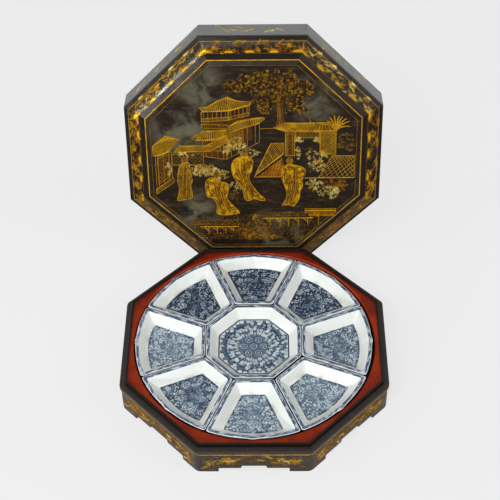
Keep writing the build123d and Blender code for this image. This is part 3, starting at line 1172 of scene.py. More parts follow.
def on_apron(index):
    """One apron board of the base, with rounded ends: along the side, and up from the floor."""
    angle = index * side_turn

    def place(sheet):
        past = np.clip((np.abs(sheet[:, 0]) - apron_flat) / apron_bend, 0.0, 0.6)
        reach = apron_outer + sheet[:, 2] - apron_bend * (1 - np.sqrt(1 - past**2))
        return np.column_stack([
            reach * cos(angle) - sheet[:, 0] * sin(angle),
            reach * sin(angle) + sheet[:, 0] * cos(angle),
            sheet[:, 1],
        ])

    return place


print(f"lid middle at y {lid_middle_y:.4f} m")

# %% [markdown]
# Gold rules run round the lid: fine ones at both edges of the band, a broad one on the slope and one on the
# panel. Each is a closed eight-cornered line, drawn at its distance from the middle and its height.

# %% Gold rules of the lid
def ring_corners(reach):
    """The corners of an octagon by the distance of its sides."""
    far = reach / cos(half_turn)
    return [(far * cos(half_turn + k * side_turn), far * sin(half_turn + k * side_turn)) for k in range(8)]


def lay_rule(name, reach, out, width, gold):
    """One gold rule round the lid."""
    pen = Pen(seed=1)
    pen.line([(x / mm, y / mm) for x, y in ring_corners(reach)], width, gold, closed=True, lift=0.0)
    return lay_sheet(name, pen, lambda sheet: in_lid(sheet[:, 0], sheet[:, 1], out + sheet[:, 2]))


band_inner = band_outer - band_width
band_high = band_low + band_rise
rules = [
    lay_rule("rule_edge", band_outer - 2.0 * mm, band_low + 1.2 * mm, 0.9, bright_gold),
    lay_rule("rule_band", band_inner, band_high, 0.8, worn_gold),
    lay_rule("rule_slope", panel_apothem, slope_high, 2.2, bright_gold),
    lay_rule("rule_panel", panel_flat - 1.0 * mm, lid_height, 0.9, worn_gold),
]
gather("lid_gold_rules", sum(rules, []), "lid")

# %% [markdown]
# Hands have rubbed the lower bands brown. Their outer edge is left near black as painted shade of the
# skirt's edge, and their inner edge stays dark lacquer. How far a point lies from the lid's middle, square
# to each of the three lower sides, tells whether it is on the band, and its height keeps the inside dark.

# %% Rubbed ground of the lower bands
tree = held_lacquer.node_tree
shader = tree.nodes["Principled BSDF"]
rubbed = shader.inputs["Base Color"].links[0].from_socket
lid_base = (0.0, lid_middle_y, apothem * cos(lid_lean))
from_base = vector_work(tree, "SUBTRACT", object_place(tree), lid_base)
reach = 0.0
for index, side_name in enumerate(side_names):
    if side_name.startswith("front"):
        angle = index * side_turn
        aim = (cos(angle), sin(angle) * sin(lid_lean), sin(angle) * cos(lid_lean))
        away = vector_work(tree, "DOT_PRODUCT", from_base, aim)
        reach = work_out(tree, "MAXIMUM", away, reach)
# The outer 2.4 mm of the band is left dark as painted shade of the skirt's edge.
band_within_shaded_edge = between(tree, reach, band_inner + 0.6 * mm, band_outer - 2.4 * mm, 0.4 * mm)
out_way = (0.0, -cos(lid_lean), sin(lid_lean))
height = vector_work(tree, "DOT_PRODUCT", from_base, out_way)
level = work_out(tree, "ADD", height, times(tree, reach, band_rise / band_width))
band_level = band_low + band_outer * band_rise / band_width
outside = step_up(tree, level, band_level - 5 * mm, band_level - 2 * mm)
held = times(tree, band_within_shaded_edge, outside)
# Off the rubbed band the colour is near black: painted shade at the outer edge, plain dark lacquer
# elsewhere.
wire(tree, blend_colours(tree, held, colour(24, 18, 14), rubbed), shader.inputs["Base Color"])
print("lower bands rubbed between", round(band_inner / mm, 1), "and", round(band_outer / mm, 1), "mm")

# %% [markdown]
# The canted band carries a running border: low gold mounds with fans of needle petals, an open flower here
# and there, and needle-leaved sprays between them. Three little motifs are drawn by functions, and each
# side sets them out with small chance changes, as a hand does. The gold is more worn on the lower sides,
# where the lid is held, and the two upper sides have pale gold among their petals and sprays as a painted
# glint.

# %% Border motifs
def half_bloom(pen, along, base, size, golds, facing=-1):
    """A fan of needle petals over a low gold mound, standing on one edge of the band."""
    for ring, (reach, count) in enumerate(((1.0, 19), (0.62, 12))):
        for k in range(count):
            angle = pi * (0.03 + 0.94 * (k + 0.5 * ring) / count) + pen.near(0.06)
            length = size * reach * (0.8 + 0.2 * sin(angle)) * (1 + pen.near(0.16))
            tip = (along + length * cos(angle), base + facing * length * sin(angle))
            root = (along + 0.3 * size * cos(angle), base + facing * 0.2 * size * sin(angle))
            pen.line([root, tip], 0.55, golds[(k + ring) % len(golds)], (1.0, 0.4), 0.05 + 0.06 * ring)
    turns = [pi * k / 8 for k in range(9)]
    mound = [(along + 0.46 * size * cos(t), base + facing * 0.24 * size * sin(t)) for t in turns]
    pen.shape(mound, golds[0], 0.18)


def spray(pen, start, angle, length, gold, leaf=3.4, pairs=7, width=0.6):
    """A stem with needle leaves in pairs."""
    bend = pen.near(0.5)
    stem = []
    for k in range(pairs + 1):
        way = k / pairs
        lean = angle + bend * way
        stem.append((start[0] + length * way * cos(lean), start[1] + length * way * sin(lean)))
    pen.line(stem, width * 0.8, gold, (1.0, 0.4))
    for k, (along, across) in enumerate(stem[1:], 1):
        lean = angle + bend * k / pairs
        size = leaf * (1.1 - 0.6 * k / pairs) * (1 + pen.near(0.2))
        for side in (-1, 1):
            tilt = lean + side * (0.85 + pen.near(0.15))
            tip = (along + size * cos(tilt), across + size * sin(tilt))
            pen.line([(along, across), tip], width, gold, (0.8, 0.3))


def full_bloom(pen, along, across, size, golds, flatten=1.0, width=0.7):
    """An open flower: two rings of petals and a heart."""
    for ring, (reach, count) in enumerate(((1.0, 17), (0.62, 11))):
        for k in range(count):
            angle = 2 * pi * (k + 0.5 * ring) / count + pen.near(0.08)
            near, far = 0.34 * reach * size, reach * size * (1 + pen.near(0.12))
            root = (along + near * cos(angle), across + flatten * near * sin(angle))
            tip = (along + far * cos(angle), across + flatten * far * sin(angle))
            pen.line([root, tip], width, golds[(k + ring) % len(golds)], (0.8, 0.5), 0.05 + 0.08 * ring)
    turns = [2 * pi * k / 10 for k in range(10)]
    heart = [(along + 0.26 * size * cos(t), across + flatten * 0.26 * size * sin(t)) for t in turns]
    pen.shape(heart, orange_gold, 0.18)


print("border motifs ready")

# %% Border of the canted band
band_seed = 300
# Pale gold on the two upper sides is a painted glint on the petals and sprays.
upper_glint_golds = (bright_gold, pale_gold, bright_gold, worn_gold)
top_golds = (bright_gold, worn_gold, orange_gold)
side_golds = (bright_gold, orange_gold, bright_gold, worn_gold)
lower_golds = (worn_gold, orange_gold, worn_gold, bright_gold)
golds_of_sides = {
    "right": side_golds, "rear_right": upper_glint_golds, "rear": top_golds, "rear_left": upper_glint_golds,
    "left": side_golds, "front_left": lower_golds, "front": lower_golds, "front_right": lower_golds,
}
sheets = []
for index, side_name in enumerate(side_names):
    golds = golds_of_sides[side_name]
    pen = Pen(band_seed + index)
    half = (band_outer - band_width / 2) * side_share / mm
    wide = band_across / mm
    for place in (-0.92, -0.46, 0.0, 0.46, 0.92):
        half_bloom(pen, place * half + pen.near(4), wide - 0.8, pen.chance.uniform(11.0, 14.5), golds)
    for place in (-0.7, -0.24, 0.24, 0.7):
        if pen.chance.random() < 0.4:
            full_bloom(
                pen, place * half + pen.near(3), 0.42 * wide, pen.chance.uniform(5.5, 7.0), golds, 0.85
            )
        else:
            half_bloom(pen, place * half + pen.near(3), 0.8, pen.chance.uniform(7.0, 9.0), golds[1:], 1)
    for k in range(44):
        root = (pen.near(0.97) * half, pen.chance.uniform(2.0, wide - 2.0))
        aim = pen.chance.choice((0.0, pi)) + pen.near(0.6)
        spray(pen, root, aim, pen.chance.uniform(6, 10), pen.chance.choice(golds), 2.6, 6, 0.55)
    sheets += lay_sheet(f"band_{side_name}", pen, on_band(index))
gather("lid_border_gilding", sheets, "lid")

# %% [markdown]
# The panel shows a garden court in the manner common to this trade: pavilions with tiled roofs, a tree,
# fences, steps, shrubs and a few robed people. Small brushes, each a function, draw what repeats: a row of
# bars, a lattice, a tiled roof, leaves by the handful and specks of gold. Points are in millimetres from
# the scene's middle, a little above the panel's own.

# %% Brushes of the court scene
def way_along(points, share):
    """The point at a share of the way along a row of points."""
    spot = share * (len(points) - 1)
    first = min(int(spot), len(points) - 2)
    part = spot - first
    (a, b), (c, d) = points[first], points[first + 1]
    return (a + (c - a) * part, b + (d - b) * part)


def in_quad(quad, across, up):
    """A point of a four-cornered field by its shares, corners from bottom left round to top left."""
    low = way_along(quad[:2], across)
    high = way_along((quad[3], quad[2]), across)
    return way_along((low, high), up)


def bars(pen, quad, count, width=0.5, gold=bright_gold, lift=0.06):
    """Upright bars across a field."""
    for k in range(count):
        share = (k + 0.5) / count
        pen.line([in_quad(quad, share, 0), in_quad(quad, share, 1)], width, gold, lift=lift)


def frame_of(pen, points, width=0.8, gold=bright_gold, lift=0.08):
    """The outline of a field."""
    pen.line(list(points), width, gold, lift=lift, closed=True)


def lattice(pen, quad, across, up, width=0.45, gold=worn_gold, lift=0.05):
    """Slanting bars both ways across a field."""
    for k in range(1 - up, across):
        for flip in (False, True):
            ends = []
            for height in (max(0, -k), min(up, across - k)):
                share = (k + height) / across
                ends.append(in_quad(quad, 1 - share if flip else share, height / up))
            pen.line(ends, width, gold, lift=lift)


def roof(pen, edge, ridge, eave, ribs, lift=0.05):
    """A tiled roof: worn gold ground, ribs from ridge to eave, rows of tiles and bright edges."""
    pen.shape(edge, worn_gold if ribs % 2 else orange_gold, lift)
    for k in range(ribs):
        share = (k + 0.5) / ribs
        top, low = way_along(ridge, share), way_along(eave, share)
        pen.line([top, low], 0.75, bright_gold, lift=lift + 0.09)
        joint = [way_along(ridge, share + 0.5 / ribs), way_along(eave, share + 0.5 / ribs)]
        pen.line([way_along(joint, s) for s in (0.1, 0.95)], 0.6, dark_line, lift=lift + 0.08)
    for row in (0.3, 0.55, 0.8):
        tiles = [way_along([way_along(ridge, s), way_along(eave, s)], row) for s in np.linspace(0, 1, 7)]
        pen.line(tiles, 0.4, dark_line, lift=lift + 0.1)
    pen.line(list(ridge), 1.3, bright_gold, (0.6, 0.6), lift + 0.12)
    pen.line(list(eave), 1.2, bright_gold, (0.7, 0.7), lift + 0.12)
    frame_of(pen, edge, 0.7, bright_gold, lift + 0.11)


def leaves(pen, middle, reach, count, leaf, golds, lift=0.1, width=0.9, fan=5):
    """Handfuls of small leaves scattered over an oval."""
    for k in range(count):
        angle, far = pen.chance.uniform(0, 2 * pi), sqrt(pen.chance.random())
        root = (middle[0] + reach[0] * far * cos(angle), middle[1] + reach[1] * far * sin(angle))
        start = pen.chance.uniform(0, 2 * pi)
        gold = pen.chance.choice(golds)
        for step in range(fan):
            turn = start + 2 * pi * step / fan + pen.near(0.3)
            size = leaf * (1 + pen.near(0.3))
            near = (root[0] + 0.25 * size * cos(turn), root[1] + 0.25 * size * sin(turn))
            tip = (root[0] + size * cos(turn), root[1] + size * sin(turn))
            pen.line([near, tip], width, gold, (0.9, 0.4), lift + pen.chance.uniform(0, 0.08))


def dust(pen, quad, count, gold=worn_gold, size=0.9):
    """Sprinkled specks of gold."""
    for k in range(count):
        spot = in_quad(quad, pen.chance.random(), pen.chance.random())
        turn = pen.chance.uniform(0, pi)
        pen.line(
            [spot, (spot[0] + size * cos(turn), spot[1] + size * sin(turn))], 0.55, gold, (0.6, 0.6), 0.05
        )


print("brushes ready")

# %% Roofs
court = Pen(seed=71)
roofs = [
    (
        [
            (-72, 74.5), (-60, 76), (-48, 84.5), (-34.6, 90.5), (-22, 84.5), (-12, 83), (0.5, 84.5),
            (-4.5, 78), (-18, 74), (-33, 69.5), (-52, 68.5), (-68, 68.5)
        ],
        [(-60, 77), (-48, 84), (-34.6, 89), (-22, 84), (-9, 83)],
        [(-69, 69), (-52, 69), (-33, 70), (-18, 74.5), (-4, 79)], 25
    ),
    (
        [(-33, 46), (-22, 54), (-2, 58), (12, 59.5), (16, 58), (7, 50), (-12, 44), (-33, 35)],
        [(-33, 46), (-22, 54), (12, 59)], [(-33, 35.5), (-12, 44.5), (7, 50.5)], 19
    ),
    (
        [(-86, 28), (-68, 39.5), (-50, 40.5), (-34, 40.5), (-40, 30), (-50, 25.5), (-77, 24.5)],
        [(-70, 38.5), (-36, 40)], [(-79, 25.5), (-50, 26), (-41, 30)], 17
    ),
    (
        [(-70, 14), (-52, 24), (-37, 33), (-37, 21), (-52, 13), (-60, 7)], [(-69, 14.5), (-37, 32.5)],
        [(-60, 7.5), (-37, 21.5)], 14
    ),
    (
        [(-110, 6.5), (-101, 16.5), (-56, 17), (-60, 7.5)], [(-101, 16), (-57, 16.5)],
        [(-109, 7), (-61, 8)], 17
    ),
    (
        [(-138, 1), (-138, 17), (-120, 32), (-101, 27), (-115, 8), (-128, 1)],
        [(-137, 17), (-120, 31.5), (-102, 27)], [(-137, 1.5), (-128, 2), (-115, 9)], 17
    ),
    (
        [(26, 43.5), (43, 51), (60, 50.5), (101, 51), (114, 38.5), (92, 37.5), (43, 37.5), (36, 40)],
        [(41, 50), (101, 50.5)], [(31, 42), (43, 38.5), (113, 39)], 25
    ),
]
for edge, ridge, eave, ribs in roofs:
    roof(court, edge, ridge, eave, ribs)
court.line([(77, 51), (75.5, 55), (77, 62)], 1.6, orange_gold, (1.0, 0.2), 0.15)
print(len(roofs), "roofs")

# %% Walls, storeys and rails
grounds = [
    ([(-70, 43), (-34, 41), (-33, 46), (-5.5, 61), (-5.5, 64), (-33, 56.5), (-70, 54)], brown_line),
    ([(-36, 8), (-2, 26), (-2, 47), (-36, 36)], brown_line),
    ([(-69, 0), (-37, -5), (-37, 22), (-69, 22)], brown_line),
    ([(44, 1), (55, 1), (55, 36), (44, 36)], brown_line),
    ([(91, 3), (111, 3), (111, 36), (91, 36)], worn_gold),
    ([(-133, -46), (-115, -32), (-115, 5), (-133, -2)], brown_line),
]
for points, gold in grounds:
    court.shape(points, gold, 0.0)
storeys = [
    ([(-70, 53), (-34, 55.5), (-34, 69), (-70, 68)], 6),
    ([(-33, 55.5), (-5.5, 63), (-5.5, 77), (-33, 69)], 5), ([(-69, 0), (-37, -5), (-37, 26), (-69, 24)], 4),
    ([(-36, -4), (8, 22), (8, 50), (-36, 36)], 4), ([(43, 0), (56, 0), (56, 37), (43, 37)], 2),
    ([(90, 2), (112, 2), (112, 37), (90, 37)], 2), ([(-135, -52), (-113, -34), (-113, 8), (-135, 0)], 3),
]
for quad, count in storeys:
    bars(court, quad, count, 1.0, orange_gold)
    frame_of(court, quad, 0.9)
rails = [
    ([(-70, 53), (-34, 55.5), (-34, 60), (-70, 58)], 16),
    ([(-33, 55.5), (-5.5, 63), (-5.5, 67), (-33, 60)], 12),
    ([(-70, 44), (-34, 42), (-34, 48), (-70, 50)], 14), ([(57, 28), (89, 28), (89, 37), (57, 37)], 16),
    ([(-136, -60), (-111, -41), (-111, -32), (-136, -52)], 14),
    ([(-69, 10), (-45, 8), (-45, 14), (-69, 16)], 9), ([(71, -91), (114, -91), (114, -85), (71, -85)], 18),
]
for quad, count in rails:
    court.shape(quad, brown_line, 0.0)
    bars(court, quad, count, 1.3, worn_gold)
    frame_of(court, quad, 1.0, bright_gold)
print(len(storeys), "storeys and", len(rails), "rails")

# %% Terraces, lattices and posts
for quad, count in (
    ([(7, -96), (71, -96), (71, -90.5), (7, -90)], 15),
    ([(-87, -110), (-22, -110), (-22, -103), (-87, -103)], 11)
):
    lattice(court, quad, count, 1, 0.55, worn_gold)
    for level in (0, 1):
        court.line([in_quad(quad, 0, level), in_quad(quad, 1, level)], 0.8, worn_gold, lift=0.1)
court.line([(71, -88), (114, -88)], 2.4, bright_gold, lift=0.12)
court.shape([(76, -97), (112, -97), (112, -93), (76, -93)], orange_gold, 0.03)
lattices = [
    ([(-112, -13), (-69, -13), (-69, 4), (-112, 4)], 8, 3, worn_gold),
    ([(0, -32), (41, 3), (41, 20), (23.5, 20)], 6, 5, bright_gold),
    ([(88.5, -34.5), (138, -34.5), (138, 0), (107, 0)], 7, 5, bright_gold),
    ([(91, 4), (111, 4), (111, 35), (91, 35)], 3, 5, brown_line),
    ([(44, 1), (55, 1), (55, 34), (44, 34)], 2, 6, worn_gold),
    ([(-132, -44), (-116, -31), (-116, 4), (-132, -3)], 3, 6, worn_gold),
    ([(-35, 10), (-14, 23), (-14, 40), (-35, 33)], 5, 4, bright_gold),
]
for quad, across, up, gold in lattices:
    lattice(court, quad, across, up, 0.55, gold)
    frame_of(court, quad, 0.8)
court.shape([(5, -32.5), (41, 0.5), (41, -32.5)], orange_gold, 0.06)
lattice(court, [(5, -32.5), (41, -32.5), (41, 0.5), (40, 0.5)], 9, 7, 0.6, dark_line, 0.12)
for points, width in (
    ([(0, -33), (47, -33)], 1.2), ([(70, -35), (138, -35)], 1.1), ([(1, -31), (41, 4.5)], 1.2),
    ([(3, -27), (24, 20)], 0.9), ([(11, -100.5), (82, -100)], 1.6), ([(-77, -114), (-22, -114)], 1.5),
    ([(8, 42), (28, 43)], 0.6), ([(-111, -13), (-69, -14)], 0.8),
):
    court.line(points, width, bright_gold, lift=0.12)
posts = [
    (22, -114, -100), (36, -114, -100), (48, -114, -100), (62, -113, -100), (75, -112, -100),
    (90, -108, -91), (-65, -126, -114), (-53, -126, -114), (-41, -125, -114), (-30, -122, -114),
]
for across, low, high in posts:
    court.line([(across, low), (across, high)], 1.5, bright_gold, (0.5, 1.0), 0.1)
    court.line([(across - 7, high), (across - 0.5, high - 6)], 1.2, bright_gold, lift=0.08)
gather("lid_court_gilding", lay_sheet("court", court, on_panel), "lid")

# %% [markdown]
# The tree and the shrubs are handfuls of short leaf strokes. The crown of the tree is built up in layers:
# dark patches on the lacquer, brown and gold leaves, dark gaps among them, and a few bright points on top.
# A pen of its own draws the later layers, so that they don't change what chance gives the shrubs.

# %% Trunk and branches
garden = Pen(seed=83)
trunk = [
    (37, 48, 6.0), (37, 54, 4.4), (36.5, 62, 3.6), (35.5, 73, 3.1), (33.6, 86, 2.4), (32.8, 101, 1.7),
    (32.5, 116, 0.7),
]
left_edge = [(across - half, up) for across, up, half in trunk]
right_edge = [(across + half, up) for across, up, half in trunk]
garden.shape(left_edge + right_edge[::-1], brown_line, 0.04)
for share, gold in (
    (0.0, worn_gold), (0.3, orange_gold), (0.55, orange_gold), (0.8, brown_line), (1.0, worn_gold)
):
    bark = [way_along(pair, share) for pair in zip(left_edge, right_edge)]
    garden.line(bark, 1.0, gold, (1.0, 0.3), 0.12)
for branch in [
    [(33, 58), (24, 69), (12, 72), (2, 70)], [(35, 66), (45, 76), (56, 75), (66, 70)],
    [(34, 82), (20, 92), (0, 101), (-34, 106)], [(34, 86), (50, 92), (66, 98), (78, 100)],
    [(34, 98), (44, 112), (52, 124)], [(33, 98), (22, 112), (14, 124)], [(20, 92), (6, 112), (-8, 120)],
    [(31, 50), (26, 58), (20, 62)], [(32, 52), (38, 57), (46, 60)],
]:
    garden.line(branch, 1.2, brown_line, (1.3, 0.3), 0.08)
print("trunk of", len(trunk), "steps")

# %% Crown of the tree
tree_golds = (brown_line, brown_line, worn_gold)
clumps = [
    (-28, 106, 13, 8, 11), (-12, 113, 14, 11, 17), (6, 117, 15, 11, 18), (26, 121, 17, 11, 20),
    (46, 117, 15, 12, 18), (62, 105, 15, 10, 15), (73, 99, 9, 7, 8), (48, 100, 14, 9, 13),
    (28, 103, 14, 9, 12), (8, 99, 13, 8, 11), (6, 81, 11, 8, 10), (15, 71, 10, 6, 9), (56, 81, 12, 8, 11),
    (63, 70, 9, 5, 7), (40, 86, 8, 7, 6), (-24, 98, 7, 4, 4), (24, 86, 8, 6, 6),
]
for across, up, wide, high, count in clumps:
    leaves(garden, (across, up), (wide, high), count * 5 // 4, 2.4, tree_golds, width=0.8)
    leaves(
        garden, (across, up), (wide, high), count, 2.1, (bright_gold, worn_gold, bright_gold, worn_gold),
        0.18, 1.05, 3
    )
crown = Pen(seed=89)
clumps += [
    (33, 108, 7, 8, 9), (36, 94, 8, 6, 8), (22, 96, 9, 6, 9), (-6, 103, 11, 7, 11), (60, 92, 10, 6, 9),
    (16, 78, 9, 6, 9), (22, 70, 7, 5, 6), (-16, 101, 10, 6, 8), (50, 66, 8, 4, 5),
]
for index, (across, up, wide, high, count) in enumerate(clumps):
    edge = [
        (
            across + wide * (1 + crown.near(0.2)) * cos(pi * k / 5),
            up + high * (1 + crown.near(0.2)) * sin(pi * k / 5)
        )
        for k in range(10)
    ]
    crown.shape(edge, dark_line, 0.001 * index)
    leaves(
        crown, (across, up), (wide, high), count, 2.1, (worn_gold, brown_line, bright_gold, orange_gold),
        0.24, 0.8, 4
    )
    leaves(crown, (across, up), (wide, high), count * 7 // 4, 2.0, (dark_line,), 0.33, 0.9, 3)
    leaves(crown, (across, up), (wide, high), count // 3, 1.5, (bright_gold,), 0.44, 0.8, 4)
print("crown of", len(clumps), "clumps")

# %% Shrubs, grass and gold dust
pale_golds = (pale_gold, pale_gold, pale_gold, bright_gold)
for across, up, wide, high, count, golds in [
    (-68, -22, 19, 9, 54, pale_golds), (-46, -29, 12, 8, 18, pale_golds), (-22, 20, 14, 9, 22, pale_golds),
    (-6, 4, 16, 7, 20, (pale_gold, worn_gold)), (-36, 10, 9, 9, 10, pale_golds),
    (62, 24, 5, 4, 6, pale_golds), (86, 24, 4, 5, 6, pale_golds),
    (92, -8, 9, 18, 22, (pale_gold, bright_gold)), (60, 4, 3, 10, 7, pale_golds),
    (126, 20, 12, 15, 22, (worn_gold,)), (84, -46, 12, 9, 18, pale_golds),
    (104, -58, 16, 10, 26, pale_golds), (112, -44, 16, 8, 16, (orange_gold,)),
    (120, -47, 9, 9, 12, (orange_gold, worn_gold)), (-22, -46, 12, 6, 12, pale_golds),
    (-28, -62, 8, 8, 8, (worn_gold,)), (-4, -118, 26, 12, 36, (worn_gold, orange_gold)),
    (8, -131, 24, 5, 22, (orange_gold, bright_gold)), (4, -100, 8, 8, 10, (bright_gold, worn_gold)),
    (78, -5, 6, 22, 14, (pale_gold, worn_gold)), (-118, -22, 5, 12, 8, pale_golds),
    (-94, 2, 12, 5, 8, pale_golds),
]:
    leaves(garden, (across, up), (wide, high), count * 9 // 4, 2.2, golds, 0.16, 0.95, 4)
for k in range(9):
    turn = radians(10 + 19 * k)
    tip = (113 + 19 * cos(turn) + garden.near(2), 42 + 20 * sin(turn) + garden.near(2))
    garden.line(
        [(112, 40), (112 + 11 * cos(turn), 46 + 12 * sin(turn)), tip], 3.2, bright_gold, (0.3, 0.2), 0.16
    )
for k in range(46):
    root = (garden.chance.uniform(-34, 40), garden.chance.uniform(-134, -104))
    garden.line(
        [root, (root[0] + garden.near(2), root[1] + 3), (root[0] + garden.near(5), root[1] + 6)], 0.6,
        worn_gold, (1, 0.2)
    )
dust(garden, [(-110, -85), (110, -85), (110, -34), (-110, -60)], 520)
for gold, count in ((worn_gold, 1000), (orange_gold, 560), (bright_gold, 460)):
    dust(garden, [(-80, -136), (80, -136), (110, -86), (-90, -100)], count, gold, 1.4)
for k in range(26):
    left = (garden.chance.uniform(-88, 60), garden.chance.uniform(-134, -96))
    garden.line(
        [left, (left[0] + garden.chance.uniform(8, 24), left[1] + garden.near(0.6))], 0.5, worn_gold,
        (0.3, 0.3), 0.05
    )
sheets = lay_sheet("garden", garden, on_panel) + lay_sheet("crown", crown, on_panel)
gather("lid_garden_gilding", sheets, "lid")

# %% [markdown]
# The people are robes more than figures: a mottled gold shape on a dark edge, with folds, brush marks along
# them and hanging sleeves. The heads are small and plain. A smooth outline is drawn through few points, and
# a brush mark stays only where both its ends lie inside the robe.

# %% Robes
def rounded(points, steps=4):
    """A smooth closed outline through points."""
    smooth = []
    count = len(points)
    for k in range(count):
        p = [np.array(points[(k + step) % count], float) for step in (-1, 0, 1, 2)]
        for step in range(steps):
            t = step / steps
            spot = 0.5 * (2 * p[1] + (p[2] - p[0]) * t + (2 * p[0] - 5 * p[1] + 4 * p[2] - p[3]) * t * t
                          + (3 * p[1] - p[0] - 3 * p[2] + p[3]) * t ** 3)
            smooth.append((spot[0], spot[1]))
    return smooth


def inside(points, spot):
    """Whether a spot lies inside a closed outline."""
    odd = False
    for (a, b), (c, d) in zip(points, points[1:] + points[:1]):
        if (b > spot[1]) != (d > spot[1]) and spot[0] < a + (c - a) * (spot[1] - b) / (d - b):
            odd = not odd
    return odd


def resized(points, share):
    """An outline drawn larger or smaller about its middle."""
    middle = np.mean(np.array(points), axis=0)
    return [tuple(middle + (np.array(point) - middle) * share) for point in points]


def fold_strands(pen, outline, folds, lift):
    """Long strands between one fold and the next."""
    golds = (bright_gold, brown_line, orange_gold, brown_line)
    for first, second in zip(folds, folds[1:]):
        for k, share in enumerate((0.0, 0.25, 0.5, 0.75)):
            strand = [
                way_along([way_along(first, s), way_along(second, s)], share)
                for s in np.linspace(0.04, 0.96, 7)
            ]
            if all(inside(outline, spot) for spot in strand):
                pen.line(strand, pen.chance.uniform(0.9, 1.5), golds[k], (0.5, 0.3), lift)


def brush_marks(pen, outline, folds, shades, lift, count=110):
    """Short marks along the folds, scattered over a robe and thicker where it is shaded."""
    low, high = np.min(outline, axis=0), np.max(outline, axis=0)
    marks = [((low + high) / 2, (high - low) / 3, (brown_line, orange_gold, bright_gold))] * count
    for across, up, size, more, tint in shades:
        marks += [((across, up), (size, size), (tint,))] * more
    for middle, spread, tints in marks:
        spot = tuple(pen.chance.gauss(place, reach) for place, reach in zip(middle, spread))
        fold = pen.chance.choice(folds)
        lean = atan2(fold[-1][1] - fold[0][1], fold[-1][0] - fold[0][0]) + pen.near(0.5)
        length = pen.chance.uniform(2, 6)
        tip = (spot[0] + length * cos(lean), spot[1] + length * sin(lean))
        if inside(outline, spot) and inside(outline, tip):
            bend = ((spot[0] + tip[0]) / 2 + pen.near(0.8), (spot[1] + tip[1]) / 2)
            width = pen.chance.uniform(0.6, 1.0)
            pen.line([spot, bend, tip], width, pen.chance.choice(tints), (0.4, 0.2), lift)


def hanging_sleeve(pen, edge, gold, lift):
    """A sleeve that hangs over the robe, with two lines inside it."""
    outline = rounded(edge)
    pen.shape(outline, gold, lift + 0.12)
    frame_of(pen, outline, 1.1, brown_line, lift + 0.16)
    for share in (0.72, 0.42):
        inner = resized(outline, share)[len(outline) // 3:]
        pen.line(inner, 0.6, orange_gold, (0.3, 0.3), lift + 0.2)


print("folds, brush marks and sleeves ready")

# %% Heads and whole people
def plain_head(pen, across, up, lift):
    """A small plain head: shadow, face, topknot, hair and a few short strokes."""
    turns = [2 * pi * k / 16 for k in range(16)]
    for size, rise, tint, over in (
        (5.6, 0.4, dark_line, 0.04), (4.8, 0.0, worn_gold, 0.1), (2.0, 6.4, brown_line, 0.12)
    ):
        disc = [(across + 0.84 * size * cos(t), up + rise + size * sin(t)) for t in turns]
        pen.shape(disc, tint, lift + over)
    brow = [(across + 4.1 * cos(t), up + 4.9 * sin(t)) for t in np.linspace(0.3, pi - 0.3, 9)]
    pen.shape(brow + [(across - 2.0, up + 2.4), (across + 2.0, up + 2.4)], brown_line, lift + 0.14)
    edge = [(across + 4.2 * cos(t), up + 5.0 * sin(t)) for t in turns]
    frame_of(pen, edge, 0.7, bright_gold, lift + 0.2)
    for left, right, drop in ((-2.4, -0.8, 0.2), (0.8, 2.4, 0.2), (-0.9, 0.9, -2.6)):
        ends = [(across + left, up + drop), (across + right, up + drop)]
        pen.line(ends, 0.5, dark_line, (0.6, 0.6), lift + 0.2)
    pen.line([(across, up), (across + 0.3, up - 1.3)], 0.4, brown_line, (0.5, 0.8), lift + 0.2)


def robe(pen, edge, folds, sleeves, head, shades, gold=robe_gold, lift=0.26):
    """A robed person: a mottled robe with a dark edge, folds, brush marks, sleeves and a plain head."""
    outline = rounded(edge)
    pen.shape(resized(outline, 1.04), dark_line, lift - 0.12)
    pen.shape(outline, gold, lift)
    frame_of(pen, outline, 1.0, bright_gold, lift + 0.06)
    fold_strands(pen, outline, folds, lift + 0.07)
    brush_marks(pen, outline, folds, shades, lift + 0.09)
    for sleeve in sleeves:
        hanging_sleeve(pen, sleeve, gold, lift)
    plain_head(pen, *head, lift)


print("robe ready")

